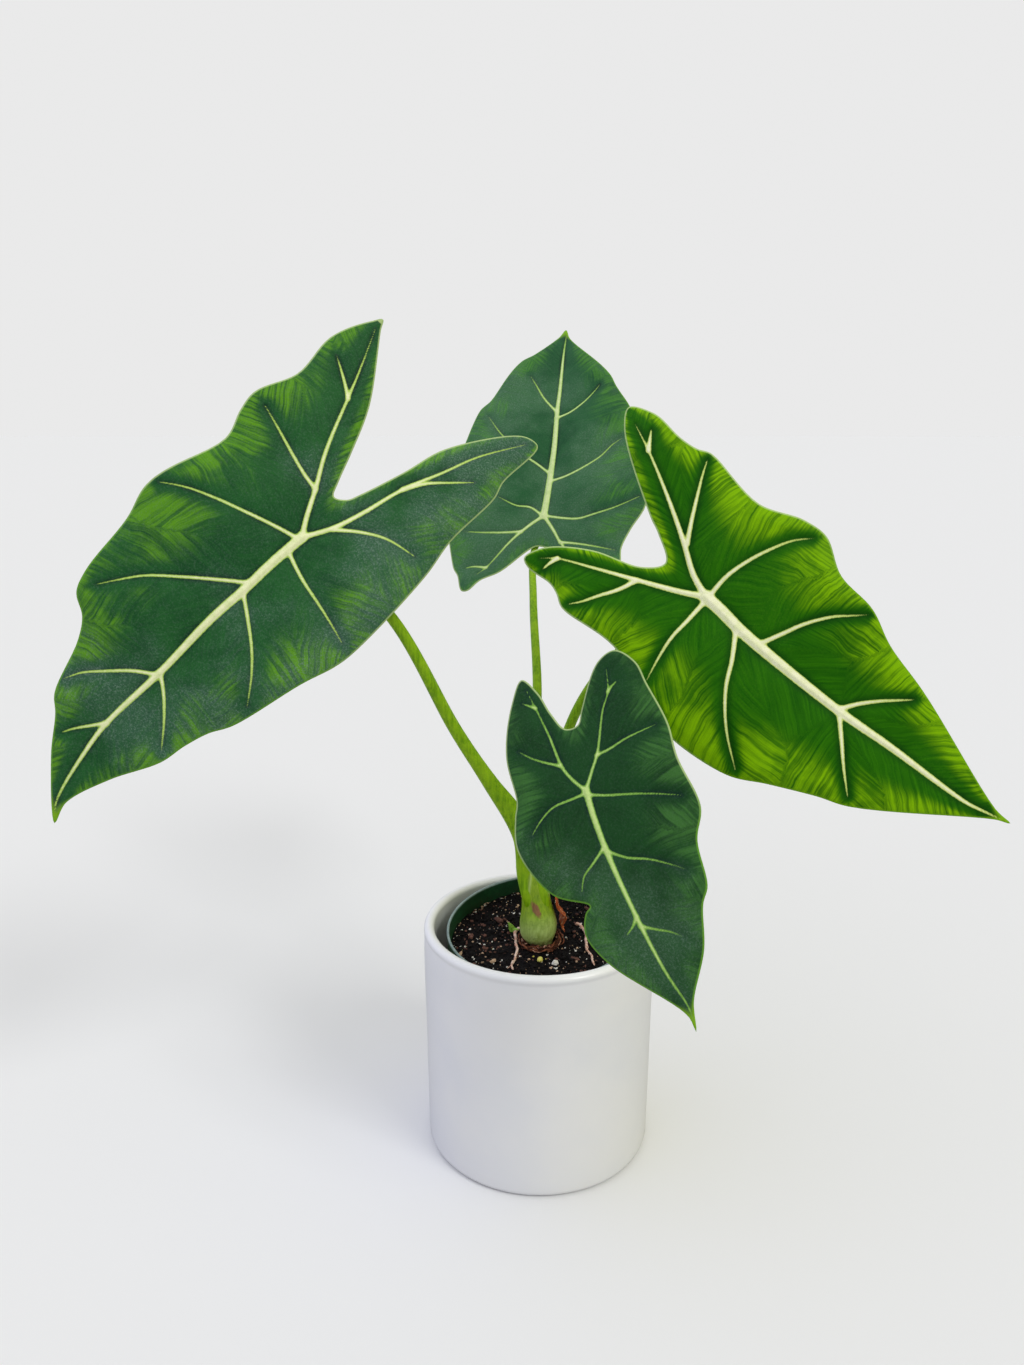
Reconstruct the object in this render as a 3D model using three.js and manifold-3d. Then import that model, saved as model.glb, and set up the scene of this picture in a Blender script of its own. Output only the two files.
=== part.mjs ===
// A frydek alocasia with four leaves, growing in a grower's pot that stands in a white ceramic pot.
// Millimetres, +Z up. The origin is the centre of the white pot's underside, and +Y is its back.

import * as THREE from 'three';
import { mergeVertices } from 'three/addons/utils/BufferGeometryUtils.js';
import Module from 'manifold-3d';

const wasm = await Module();
wasm.setup();

const touchGap = 0.3; // between two pieces that touch

// White ceramic pot
const potRadius = 63.5; // outer radius at the lip
const potFootRadius = 62.4; // outer radius just above the foot
const potHeight = 127;
const potWall = 5.8;
const potFloor = 6;
const potFootRound = 3.5; // round edge between the underside and the wall
const potInnerRound = 5; // round corner between the floor and the inner wall

// Grower's pot, which leans a little inside the white one. Its own origin is the centre of its rim.
const growerRimCentre = new THREE.Vector3(2, -3, 126.5);
const growerLeanBack = 5.2; // degrees by which the back of the rim is higher
const growerLeanLeft = -3.4; // degrees by which the left of the rim is lower
const growerRimRadius = 53;
const growerBaseRadius = 40;
const growerWall = 1.4;
const growerCollarDepth = 11; // height of the straight band under the rim
const growerCollarStep = 1.6; // how far the tapered wall stands in from the band
const drainHoleRadius = 4.5;
const drainHoleCount = 6;
const drainRingRadius = 27;

// Soil, and the stem foot that stands in it
const soilDepthBelowRim = 8.5;
const stemFoot = new THREE.Vector3(-1.5, -3.7, -soilDepthBelowRim);
const stemLeanBack = -8.9; // degrees
const stemLeanLeft = -8.6; // degrees
const stemBuriedDepth = 20;
const stemNeckHeight = 28.5; // above the soil
const bulbRadius = 10.4; // of the foot at its widest

// Leaf stalks
const petioleSpread = 3.8; // from the middle of the neck to each stalk's middle, along X and along Y
const straightStretch = 12; // of each stalk as it leaves the neck
const arrivalStretch = 4; // of each stalk as it meets its blade
const archRoom = 0.1; // more room under the blade, whose underside curves

// Blades
const bladeThickness = 1;
const bladeRings = 4;
const spokesPerPoint = 2; // for each point of the outline
const foldSlope = 0.2; // how steeply the two halves rise from the midrib
const foldSoftness = 6; // width of the round bottom of that fold
const waveHeight = 1.8; // of the margin's slow waves
const waveReach = 50; // distance from the midrib at which the wave has that height
const waveLength = 60;
const waveShift = 1.6; // radians by which the left half's waves lag the right half's

function material(colour, roughness, metalness = 0) {
  return new THREE.MeshStandardMaterial({ color: colour, roughness, metalness });
}

const glazeWhite = material('#cfd0d4', 0.25);
const growerGreen = material('#1c3a26', 0.5);
const soilBlack = material('#221c19', 0.95);
const stemGreen = material('#7fa52c', 0.5);
const fibreBrown = material('#5b3a28', 0.9);
const sheathRust = material('#8a4326', 0.7);
const sproutGreen = material('#74b22a', 0.5);
const rootPink = material('#c79a86', 0.7);
const perliteWhite = material('#e6e2da', 0.9);
const barkBrown = material('#6a3f33', 0.9);
const bladeDark = material('#1f4a2c', 0.6);
const bladeBright = material('#3c7d16', 0.5);

function named(name, geometry, finish) {
  const mesh = new THREE.Mesh(geometry, finish);
  mesh.name = name;
  return mesh;
}

function degrees(angle) {
  return THREE.MathUtils.degToRad(angle);
}

// Points of an arc in a lathe profile, from one angle to another.
function arc(centreRadius, centreHeight, radius, fromAngle, toAngle, steps) {
  const points = [];
  for (let i = 0; i <= steps; i += 1) {
    const angle = degrees(fromAngle + ((toAngle - fromAngle) * i) / steps);
    const across = centreRadius + radius * Math.cos(angle);
    const up = centreHeight + radius * Math.sin(angle);
    points.push(new THREE.Vector2(across, up));
  }
  return points;
}

// A profile of radius and height turned about Z.
function turned(profile, segments) {
  return new THREE.LatheGeometry(profile, segments).rotateX(Math.PI / 2);
}

function toSolid(geometry) {
  const bare = geometry.clone();
  bare.deleteAttribute('normal');
  bare.deleteAttribute('uv');
  const merged = mergeVertices(bare, 0.001);
  const mesh = new wasm.Mesh({
    numProp: 3,
    vertProperties: new Float32Array(merged.attributes.position.array),
    triVerts: new Uint32Array(merged.index.array),
  });
  return new wasm.Manifold(mesh);
}

function toGeometry(solid) {
  const mesh = solid.getMesh();
  const geometry = new THREE.BufferGeometry();
  geometry.setAttribute('position', new THREE.BufferAttribute(mesh.vertProperties, mesh.numProp));
  geometry.setIndex(new THREE.BufferAttribute(mesh.triVerts, 1));
  geometry.computeVertexNormals();
  return geometry;
}

// A round stalk that follows a path: radiusAt gives its radius from 0 at the start to 1 at the end.
function stalk(path, radiusAt, sides, steps) {
  const profile = [new THREE.Vector2(0, 0)];
  for (let i = 0; i <= steps; i += 1) {
    profile.push(new THREE.Vector2(radiusAt(i / steps), i));
  }
  profile.push(new THREE.Vector2(0, steps));
  const geometry = new THREE.LatheGeometry(profile, sides);
  const frames = path.computeFrenetFrames(steps, false);
  const position = geometry.attributes.position;
  for (let k = 0; k < position.count; k += 1) {
    const step = Math.round(position.getY(k));
    const point = path.getPointAt(step / steps);
    point.addScaledVector(frames.binormals[step], position.getX(k));
    point.addScaledVector(frames.normals[step], position.getZ(k));
    position.setXYZ(k, point.x, point.y, point.z);
  }
  geometry.computeVertexNormals();
  return geometry;
}

function smoothPath(points) {
  return new THREE.CatmullRomCurve3(points, false, 'centripetal');
}

function whitePot() {
  const lip = potWall / 2;
  const inner = potRadius - potWall;
  const profile = [
    new THREE.Vector2(0, 0),
    ...arc(potFootRadius - potFootRound, potFootRound, potFootRound, -90, 0, 3),
    ...arc(potRadius - lip, potHeight - lip, lip, 0, 180, 6),
    ...arc(inner - potInnerRound, potFloor + potInnerRound, potInnerRound, 0, -90, 3),
    new THREE.Vector2(0, potFloor),
  ];
  return named('white_pot', turned(profile, 44), glazeWhite);
}

function growerTilt() {
  return new THREE.Euler(degrees(growerLeanBack), degrees(growerLeanLeft), 0);
}

// The pot is as tall as its lean needs for its lowest edge to stand on the white pot's floor.
function growerHeight() {
  const up = new THREE.Vector3(0, 0, 1).applyEuler(growerTilt());
  const edgeDrop = growerBaseRadius * Math.sqrt(1 - up.z * up.z);
  return (growerRimCentre.z - potFloor - touchGap - edgeDrop) / up.z;
}

function growerOuterRadius(depth) {
  if (depth <= growerCollarDepth) {
    return growerRimRadius;
  }
  const shoulder = growerRimRadius - growerCollarStep;
  const taper = (depth - growerCollarDepth) / (growerHeight() - growerCollarDepth);
  return shoulder + (growerBaseRadius - shoulder) * taper;
}

function growerInnerRadius(depth) {
  return Math.min(growerOuterRadius(depth), growerRimRadius - growerCollarStep) - growerWall;
}

function nurseryPot() {
  const height = growerHeight();
  const shoulder = growerRimRadius - growerCollarStep;
  const profile = [
    new THREE.Vector2(0, -height),
    new THREE.Vector2(growerBaseRadius, -height),
    new THREE.Vector2(shoulder, -growerCollarDepth - growerCollarStep),
    new THREE.Vector2(growerRimRadius, -growerCollarDepth),
    new THREE.Vector2(growerRimRadius, 0),
    new THREE.Vector2(growerRimRadius - growerCollarStep - growerWall, 0),
    new THREE.Vector2(growerInnerRadius(growerCollarDepth), -growerCollarDepth),
    new THREE.Vector2(growerInnerRadius(height - growerWall), -height + growerWall),
    new THREE.Vector2(0, -height + growerWall),
  ];
  let pot = toSolid(turned(profile, 40));
  const holeLength = growerWall * 4;
  for (let i = 0; i < drainHoleCount; i += 1) {
    const angle = (2 * Math.PI * i) / drainHoleCount;
    const hole = new THREE.CylinderGeometry(drainHoleRadius, drainHoleRadius, holeLength, 10);
    hole.rotateX(Math.PI / 2);
    hole.translate(drainRingRadius * Math.cos(angle), drainRingRadius * Math.sin(angle), -height);
    pot = pot.subtract(toSolid(hole));
  }
  return named('nursery_pot', toGeometry(pot), growerGreen);
}

// Radius and height of the bulb-like foot, from the buried end to the neck, with room all round it.
function stemProfile(room) {
  return [
    new THREE.Vector2(0, -stemBuriedDepth - room),
    new THREE.Vector2(6 + room, -stemBuriedDepth - room),
    new THREE.Vector2(8.6 + room, -8),
    new THREE.Vector2(9.6 + room, 0),
    new THREE.Vector2(bulbRadius + room, 5),
    new THREE.Vector2(bulbRadius + room, 9),
    new THREE.Vector2(9.4 + room, 15),
    new THREE.Vector2(8.2 + room, 21),
    new THREE.Vector2(7.7 + room, stemNeckHeight),
    new THREE.Vector2(0, stemNeckHeight),
  ];
}

function placeStem(object) {
  object.position.copy(stemFoot);
  object.rotation.set(degrees(stemLeanBack), degrees(stemLeanLeft), 0);
  object.updateMatrix();
  return object;
}

function stemSocket() {
  const socket = turned(stemProfile(touchGap), 24);
  socket.applyMatrix4(placeStem(new THREE.Object3D()).matrix);
  return toSolid(socket);
}

function soil() {
  const topRadius = growerInnerRadius(soilDepthBelowRim) - touchGap;
  const bottomDepth = growerHeight() - growerWall - touchGap;
  const profile = [
    new THREE.Vector2(0, -bottomDepth),
    new THREE.Vector2(growerInnerRadius(bottomDepth) - touchGap, -bottomDepth),
    new THREE.Vector2(growerInnerRadius(growerCollarDepth) - touchGap, -growerCollarDepth),
    new THREE.Vector2(topRadius, -soilDepthBelowRim),
    new THREE.Vector2(0, -soilDepthBelowRim),
  ];
  const mix = toSolid(turned(profile, 36)).subtract(stemSocket());
  return named('soil', toGeometry(mix), soilBlack);
}

function stemBase() {
  return named('stem_base', turned(stemProfile(0), 20), stemGreen);
}

// Brown fibres left by old leaves, in a ring round the foot where it leaves the soil.
function fibreCollar() {
  const profile = [
    new THREE.Vector2(0, 0),
    new THREE.Vector2(12.2, 0),
    new THREE.Vector2(12, 2),
    new THREE.Vector2(11, 3.6),
    new THREE.Vector2(0, 3.6),
  ];
  const disc = turned(profile, 20);
  disc.translate(stemFoot.x, stemFoot.y, stemFoot.z + touchGap);
  return named('fibre_collar', toGeometry(toSolid(disc).subtract(stemSocket())), fibreBrown);
}

// The papery sheath of a dead leaf, standing against the right of the foot.
function drySheath() {
  const innerRadius = bulbRadius + touchGap;
  const thickness = 0.8;
  const halfAngle = degrees(34);
  const bottom = 3.7;
  const height = 20;
  const shape = new THREE.Shape();
  shape.absarc(0, 0, innerRadius + thickness, -halfAngle, halfAngle, false);
  shape.absarc(0, 0, innerRadius, halfAngle, -halfAngle, true);
  shape.closePath();
  const settings = { depth: height, bevelEnabled: false, curveSegments: 6 };
  const geometry = new THREE.ExtrudeGeometry(shape, settings);
  geometry.translate(0, 0, bottom);
  return named('dry_sheath', geometry, sheathRust);
}

// A root lying on the soil, through points given as X and Y in the grower's pot.
function root(name, places) {
  const thick = 0.9;
  const thin = 0.5;
  const height = -soilDepthBelowRim + touchGap + thick;
  const points = places.map(([x, y]) => new THREE.Vector3(x, y, height));
  const radiusAt = (t) => thick + (thin - thick) * t;
  return named(name, stalk(smoothPath(points), radiusAt, 6, 12), rootPink);
}

function sprout() {
  const height = 7;
  const thick = 2.1;
  const thin = 0.2;
  const foot = new THREE.Vector3(-18, 9.8, -soilDepthBelowRim + touchGap);
  const tip = foot.clone().add(new THREE.Vector3(-1, -2, height));
  const bend = foot.clone().add(new THREE.Vector3(0.6, 0, height / 2));
  const radiusAt = (t) => thick + (thin - thick) * t;
  return named('sprout', stalk(smoothPath([foot, bend, tip]), radiusAt, 7, 5), sproutGreen);
}

// A crumb lying on the soil: its middle's X and Y in the grower's pot, and its three half sizes.
function crumb(name, place, halfSizes, turn, finish) {
  const geometry = new THREE.IcosahedronGeometry(1, 1);
  geometry.scale(...halfSizes);
  geometry.rotateZ(degrees(turn));
  const mesh = named(name, geometry, finish);
  mesh.position.set(place[0], place[1], -soilDepthBelowRim + touchGap + halfSizes[2]);
  return mesh;
}

// Each blade lies flat in its own X and Y, with the junction of its veins at the origin and its tip
// towards +Y. The outline starts at the tip and goes down the +X side, round both lobes and back.
// sideRadius, droop and lobeDroop are the radii in which its halves, its tip and its lobes bend back.
const leaves = {
  left: {
    junction: [-108, -62, 345],
    pointing: [-0.639, -0.352, -0.684],
    facing: [0.226, -0.936, 0.27],
    sideRadius: 180,
    droop: 320,
    lobeDroop: 220,
    outline: [
      [-2, 168], [18, 144], [28, 128], [34, 121], [41, 97], [46, 88], [54, 82], [57, 73],
      [60, 44], [63, 28], [53, -10], [57, -24], [58, -34], [51, -54], [54, -81], [45, -107],
      [42, -105], [21, -68], [11.5, -40.5], [6.5, -29], [-3, -28], [-19, -78], [-38, -111], [-45, -117],
      [-51, -117], [-50, -88], [-52, -77], [-50, -45], [-52, -25], [-51, 22], [-49, 33], [-43, 49],
      [-33, 82], [-27, 92], [-23, 103], [-20, 115], [-8, 136], [-4, 157],
    ],
    finish: bladeDark,
    neckPlace: [-1, -1],
    stalkPoints: [
      [-13, -8, 180], [-28, -14, 213], [-44, -22, 245], [-72, -38, 304], [-97, -48, 333],
      [-107, -53.5, 343],
    ],
    stalkArrival: 'square',
    stalkRadii: [3.6, 3.7, 2.9, 2.2],
  },
  right: {
    junction: [75, -48, 316],
    pointing: [0.773, -0.343, -0.534],
    facing: [-0.212, -0.933, 0.292],
    sideRadius: 180,
    droop: 380,
    lobeDroop: 240,
    outline: [
      [-1, 173], [2, 166], [38, 109], [43, 95], [52, 74], [60, 57], [62, 28], [59, 17],
      [44, -20], [44, -52], [40, -59], [38, -65], [38, -80], [35, -85], [25, -79], [13, -58],
      [6, -33], [-2, -25], [-11, -36], [-16, -45], [-44, -83], [-55, -89], [-58, -75], [-54, -56],
      [-54, -46], [-56, -39], [-48, -6], [-54, 15], [-54, 27], [-43, 43], [-39, 63], [-31, 79],
      [-24, 102], [-2, 163],
    ],
    finish: bladeBright,
    neckPlace: [1, 1],
    stalkPoints: [
      [5, 1, 200], [18, 0, 246], [36, -10, 278], [57, -24, 301], [70, -36, 312],
    ],
    stalkArrival: 'square',
    stalkRadii: [3.6, 3, 2.5, 2.1],
  },
  front: {
    junction: [17, -103, 241],
    pointing: [0.338, -0.564, -0.754],
    facing: [-0.37, -0.816, 0.444],
    sideRadius: 130,
    droop: 220,
    lobeDroop: 160,
    outline: [
      [0, 106], [3, 98], [21, 69], [25, 53], [22.5, 46], [23, 44], [31, 35], [38, 12],
      [34, -2], [31, -8], [29, -29], [19, -54], [12, -64], [6, -53], [3, -40], [-1, -30],
      [-7, -29], [-11, -35], [-25, -53], [-34, -55], [-41, -45], [-42, -33], [-44, -11], [-42, 4],
      [-42, 26], [-35, 38], [-31, 56], [-26, 62], [-18, 78], [-4, 95],
    ],
    finish: bladeDark,
    neckPlace: [1, -1],
    stalkPoints: [
      [3, -16, 184], [8, -34, 210], [12.5, -60, 230], [15.5, -84, 238],
    ],
    stalkArrival: 'square',
    stalkRadii: [3.6, 2.9, 2.3, 1.9],
  },
  back: {
    junction: [5, 127, 339],
    pointing: [0.098, 0.609, 0.787],
    facing: [-0.197, -0.763, 0.615],
    sideRadius: 190,
    droop: 900,
    lobeDroop: 400,
    outline: [
      [-1, 164], [3, 154], [34, 114], [39, 103], [49, 83], [59, 54], [65, 16], [63, 3],
      [55, -11], [50, -25], [50, -36], [46, -47], [41, -49], [35, -44], [20, -34], [12, -27],
      [-1, -22], [-5, -23], [-24, -40], [-36, -46], [-43, -53], [-47, -53], [-51, -42], [-55, -35],
      [-65, 19], [-65, 37], [-57, 57], [-52, 88], [-45, 96], [-28, 131], [-20, 138], [-5, 156],
    ],
    finish: bladeDark,
    neckPlace: [-1, 1],
    stalkPoints: [
      [-6, 4, 185], [-3, 14, 222], [-1, 32, 251], [-2.7, 70, 295], [-0.6, 120, 320.2],
    ],
    stalkArrival: 'along',
    stalkRadii: [3.6, 2.9, 2.3, 2.1],
  },
};

// Height of the curved blade over its flat plan.
function bladeRise(leaf, x, y) {
  const fold = foldSlope * (Math.hypot(x, foldSoftness) - foldSoftness);
  const arch = (x * x) / (2 * leaf.sideRadius);
  const droop = (y * y) / (2 * (y > 0 ? leaf.droop : leaf.lobeDroop));
  const lag = x > 0 ? 0 : waveShift;
  const reach = (x / waveReach) ** 2;
  const wave = waveHeight * reach * Math.sin((2 * Math.PI * y) / waveLength + lag);
  return fold - arch - droop + wave;
}

// Matrix that takes a blade from its own plan to its place: X across, Y to the tip, Z its upper face.
function bladePlace(leaf) {
  const toTip = new THREE.Vector3(...leaf.pointing).normalize();
  const across = new THREE.Vector3().crossVectors(toTip, new THREE.Vector3(...leaf.facing)).normalize();
  const upperFace = new THREE.Vector3().crossVectors(across, toTip);
  const place = new THREE.Matrix4().makeBasis(across, toTip, upperFace);
  return place.setPosition(...leaf.junction);
}

// Cuts the four-cornered facets of a blade's lower face along the same lines as those of its upper
// face, so that the two faces never cross where the blade is thin.
function matchLowerFace(corners, spokes) {
  const poleRow = spokes * 3;
  const fullRow = spokes * 6;
  const start = poleRow + (bladeRings - 1) * fullRow;
  const end = start + (bladeRings - 1) * fullRow;
  for (let k = start; k < end; k += 6) {
    corners[k + 2] = corners[k + 4];
    corners[k + 3] = corners[k];
  }
}

// A ball pressed flat: its equator follows the outline and its poles meet at the junction.
function blade(name, leaf) {
  const points = leaf.outline.map(([x, y]) => new THREE.Vector3(x, y, 0));
  const margin = new THREE.CatmullRomCurve3(points, true, 'centripetal');
  const spokes = points.length * spokesPerPoint;
  const geometry = new THREE.SphereGeometry(1, spokes, bladeRings * 2);
  const position = geometry.attributes.position;
  const uv = geometry.attributes.uv;
  for (let k = 0; k < position.count; k += 1) {
    const around = margin.getPoint((2 - uv.getX(k)) % 1);
    const fromPole = Math.round((1 - uv.getY(k)) * bladeRings * 2);
    const out = Math.min(fromPole, bladeRings * 2 - fromPole) / bladeRings;
    const side = Math.sign(bladeRings - fromPole);
    const x = around.x * out;
    const y = around.y * out;
    const halfThickness = (bladeThickness / 2) * Math.sqrt(1 - out ** 4);
    position.setXYZ(k, x, y, bladeRise(leaf, x, y) + side * halfThickness);
  }
  matchLowerFace(geometry.index.array, spokes);
  geometry.computeVertexNormals();
  const mesh = named(name, geometry, leaf.finish);
  mesh.applyMatrix4(bladePlace(leaf));
  return mesh;
}

// The leaf stalk, from the top of the neck to the underside of its blade at the junction.
function petiole(name, leaf, stemToWorld) {
  const neckTop = stemNeckHeight + touchGap;
  const [sideX, sideY] = leaf.neckPlace;
  const start = new THREE.Vector3(sideX * petioleSpread, sideY * petioleSpread, neckTop);
  const straight = start.clone().setZ(neckTop + straightStretch);
  const lastRadius = leaf.stalkRadii.length - 1;
  const along = leaf.stalkArrival === 'along';
  const under = bladeThickness / 2 + touchGap + (along ? leaf.stalkRadii[lastRadius] : 0) + archRoom;
  const end = new THREE.Vector3(0, 0, -under);
  const arrival = end.clone();
  if (along) {
    arrival.y -= arrivalStretch;
  } else {
    arrival.z -= arrivalStretch;
  }
  const place = bladePlace(leaf);
  const path = smoothPath([
    start.applyMatrix4(stemToWorld),
    straight.applyMatrix4(stemToWorld),
    ...leaf.stalkPoints.map((point) => new THREE.Vector3(...point)),
    arrival.applyMatrix4(place),
    end.applyMatrix4(place),
  ]);
  const radiusAt = (t) => {
    const i = Math.min(Math.floor(t * lastRadius), lastRadius - 1);
    return THREE.MathUtils.lerp(leaf.stalkRadii[i], leaf.stalkRadii[i + 1], t * lastRadius - i);
  };
  return named(name, stalk(path, radiusAt, 9, 26), stemGreen);
}

const rootLeftPlaces = [
  [-14.8, 9.4], [-15.6, 0.5], [-14.8, -10.3], [-16, -19.4], [-17.4, -22], [-17, -29],
];
const rootRightPlaces = [[20.3, 10.3], [23.5, -1], [22.8, -11.6], [25, -20.2], [25.8, -28.4]];

const stem = placeStem(new THREE.Group());
stem.add(stemBase(), drySheath());

const grower = new THREE.Group();
grower.position.copy(growerRimCentre);
grower.rotation.copy(growerTilt());
grower.add(nurseryPot(), soil(), fibreCollar(), stem, sprout());
grower.add(root('root_left', rootLeftPlaces), root('root_right', rootRightPlaces));
grower.add(crumb('perlite_white', [5.4, -24.9], [1.7, 1.5, 1.3], 20, perliteWhite));
grower.add(crumb('perlite_yellowed', [-2.5, -22.4], [1.3, 1.7, 1.1], 0, perliteWhite));
grower.add(crumb('bark_chip_back', [-24.9, 19.7], [3.4, 1.6, 1.1], 15, barkBrown));
grower.add(crumb('bark_chip_left', [-40.4, 4.8], [1.5, 2.4, 1], 10, barkBrown));
grower.add(crumb('bark_chip_right', [16.2, -22.2], [2.6, 1.3, 0.9], 40, barkBrown));
grower.updateMatrixWorld(true);

const plant = new THREE.Group();
plant.add(whitePot(), grower);
for (const [side, leaf] of Object.entries(leaves)) {
  plant.add(blade(`blade_${side}`, leaf));
  plant.add(petiole(`petiole_${side}`, leaf, stem.matrixWorld));
}

export default plant;
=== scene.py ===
# A frydek alocasia with four leaves, in a grower's pot that stands in a white glazed pot.
import math
import random
import bmesh
import bpy
import numpy as np
from mathutils import Matrix, Vector, noise


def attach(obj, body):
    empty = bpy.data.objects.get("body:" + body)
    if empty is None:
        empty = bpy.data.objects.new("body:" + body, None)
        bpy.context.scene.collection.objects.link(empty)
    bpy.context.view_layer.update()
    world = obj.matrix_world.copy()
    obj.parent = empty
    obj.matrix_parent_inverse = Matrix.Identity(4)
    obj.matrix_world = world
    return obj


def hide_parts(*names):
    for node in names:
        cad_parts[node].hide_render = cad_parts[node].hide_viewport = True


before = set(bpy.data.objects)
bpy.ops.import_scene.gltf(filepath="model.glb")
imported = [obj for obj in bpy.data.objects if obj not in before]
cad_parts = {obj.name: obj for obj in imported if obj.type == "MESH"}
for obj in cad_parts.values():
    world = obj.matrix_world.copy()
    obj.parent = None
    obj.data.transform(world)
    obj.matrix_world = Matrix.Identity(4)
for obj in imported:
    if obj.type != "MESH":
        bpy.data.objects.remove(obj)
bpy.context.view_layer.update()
mm = 0.001  # sizes in this script are in mm, and finishPiece makes them metres
print("frame loaded:", len(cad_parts), "nodes")


def turn(xDegrees, yDegrees):  # X is turned last
    return Matrix.Rotation(math.radians(xDegrees), 4, "X") @ Matrix.Rotation(math.radians(yDegrees), 4, "Y")


def move(point):
    return Matrix.Translation(Vector(point))


grower = dict(
    rimCentre=(2, -3, 127.8), leanBack=5.2, leanLeft=-3.4, rimRadius=53, baseRadius=40, wall=1.4,
    footCorner=1, standGap=0.3, collarDepth=11, collarStep=1.6, lipRound=0.5, holeRadius=4.5, holeCount=6,
    holeRing=27, holeSides=32, soilDepth=9.8, steps=144,
    rings=dict(base=8, side=14, collar=6, lip=4, lipTop=3, inCollar=8, inSide=12, floor=6),
)
stem = dict(
    foot=(-1.5, -3.7), footLift=1.2, leanBack=-8.9, leanLeft=-8.6, neckHeight=28.5, neckShift=2.4, spread=3.8,
)
stemFoot = (*stem["foot"], stem["footLift"] - grower["soilDepth"])
growerPlace = move(grower["rimCentre"]) @ turn(grower["leanBack"], grower["leanLeft"])
stemPlace = growerPlace @ move(stemFoot) @ turn(stem["leanBack"], stem["leanLeft"])


def addObject(name, data):
    made = bpy.data.objects.new(name, data)
    bpy.context.scene.collection.objects.link(made)
    return made


def meshObject(name, bm):  # the bmesh ends here
    mesh = bpy.data.meshes.new(name)
    bm.to_mesh(mesh)
    bm.free()
    return addObject(name, mesh)


def finishPiece(name, bm, finishes, nodes, place=None, smooth=True):  # bm is in mm
    bmesh.ops.transform(bm, matrix=Matrix.Scale(mm, 4) @ (place or Matrix()), verts=bm.verts)
    piece = meshObject(name, bm)
    for finish in finishes:
        piece.data.materials.append(finish)
    piece.data.polygons.foreach_set("use_smooth", [smooth] * len(piece.data.polygons))
    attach(piece, "root")
    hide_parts(*nodes)
    return piece


def setField(bm, name, numbers):  # three numbers on every vertex, for the finishes to read
    layer = bm.verts.layers.float_vector.new(name)
    for v, three in zip(bm.verts, numbers):
        v[layer] = three


def smoothLine(points, perSpan, closed=False):  # centripetal Catmull-Rom through the points
    given = np.array(points, float)
    if closed:
        padded = np.vstack([given[-1:], given, given[:2]])
    else:
        padded = np.vstack([2 * given[:1] - given[1:2], given, 2 * given[-1:] - given[-2:-1]])
    t = np.linspace(0, 1, perSpan, endpoint=False)[:, None]
    spans = []
    for a, b, c, d in zip(padded, padded[1:], padded[2:], padded[3:]):
        before, during, after = (max(np.linalg.norm(q - p), 1e-9) ** 0.5 for p, q in ((a, b), (b, c), (c, d)))
        leave = ((b - a) / before - (c - a) / (before + during) + (c - b) / during) * during
        arrive = ((c - b) / during - (d - b) / (during + after) + (d - c) / after) * during
        square = 3 * (c - b) - 2 * leave - arrive
        cube = 2 * (b - c) + leave + arrive
        spans.append(b + t * (leave + t * (square + t * cube)))
    if not closed:
        spans.append(given[-1:])
    return np.vstack(spans)


def runLengths(line):  # how far along a line each of its points lies
    return np.concatenate([[0], np.cumsum(np.linalg.norm(np.diff(line, axis=0), axis=1))])


def evenLine(line, spacing):  # the same line with points a fixed distance apart
    lengths = runLengths(line)
    count = max(4, int(lengths[-1] / spacing) + 1)
    places = np.linspace(0, lengths[-1], count)
    return np.stack([np.interp(places, lengths, line[:, k]) for k in range(line.shape[1])], 1)


def nearestOnLine(points, line):  # distance to a line, and how far along it the nearest place is, 0 to 1
    best = np.full(len(points), 1e9)
    along = np.zeros(len(points))
    lengths = runLengths(line)
    for k in range(len(line) - 1):
        a, edge = line[k], line[k + 1] - line[k]
        offsets = [column - start for column, start in zip(points.T, a)]
        share = np.clip(sum(o * e for o, e in zip(offsets, edge)) / max(edge @ edge, 1e-12), 0, 1)
        gap = sum((o - share * e) ** 2 for o, e in zip(offsets, edge))
        closer = gap < best
        best[closer] = gap[closer]
        along[closer] = (lengths[k] + share[closer] * (lengths[k + 1] - lengths[k])) / lengths[-1]
    return np.sqrt(best), along


def pullRing(bm, edges, ring):  # extrudes a ring, and gives the new one's edges and ordered vertices
    number = {v: i for i, v in enumerate(ring)}
    made = bmesh.ops.extrude_edge_only(bm, edges=edges)["geom"]
    order = {}
    for v in (g for g in made if isinstance(g, bmesh.types.BMVert)):
        for e in v.link_edges:
            if e.other_vert(v) in number:
                order[v] = number[e.other_vert(v)]
    newEdges = [g for g in made if isinstance(g, bmesh.types.BMEdge) and all(v in order for v in g.verts)]
    return newEdges, sorted(order, key=order.get)


def tube(bm, line, radii, sides, shape=None):  # rings pulled along a line, closed at both ends
    steep = 0.3  # a tube that starts steeper than this has its first side towards the right
    line = [Vector(p) for p in line]
    ring = bmesh.ops.create_circle(bm, cap_ends=False, segments=sides, radius=1)["verts"]
    base = [v.co.copy() for v in ring]
    edges = [e for e in bm.edges if e.verts[0] in ring and e.verts[1] in ring]
    first = list(ring)
    forward = (line[1] - line[0]).normalized()
    side = Vector((1, 0, 0)) if abs(forward.z) > steep else forward.orthogonal().normalized()
    for k, point in enumerate(line):
        forward = (line[min(k + 1, len(line) - 1)] - line[max(k - 1, 0)]).normalized()
        side = (side - forward * side.dot(forward)).normalized()
        other = forward.cross(side)
        if k > 0:
            edges, ring = pullRing(bm, edges, ring)
        for i, v in enumerate(ring):
            size = radii[k] * (shape(k, 2 * math.pi * i / sides) if shape else 1)
            v.co = point + (side * base[i].x + other * base[i].y) * size
    bmesh.ops.contextual_create(bm, geom=first)
    bmesh.ops.contextual_create(bm, geom=ring)


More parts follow.
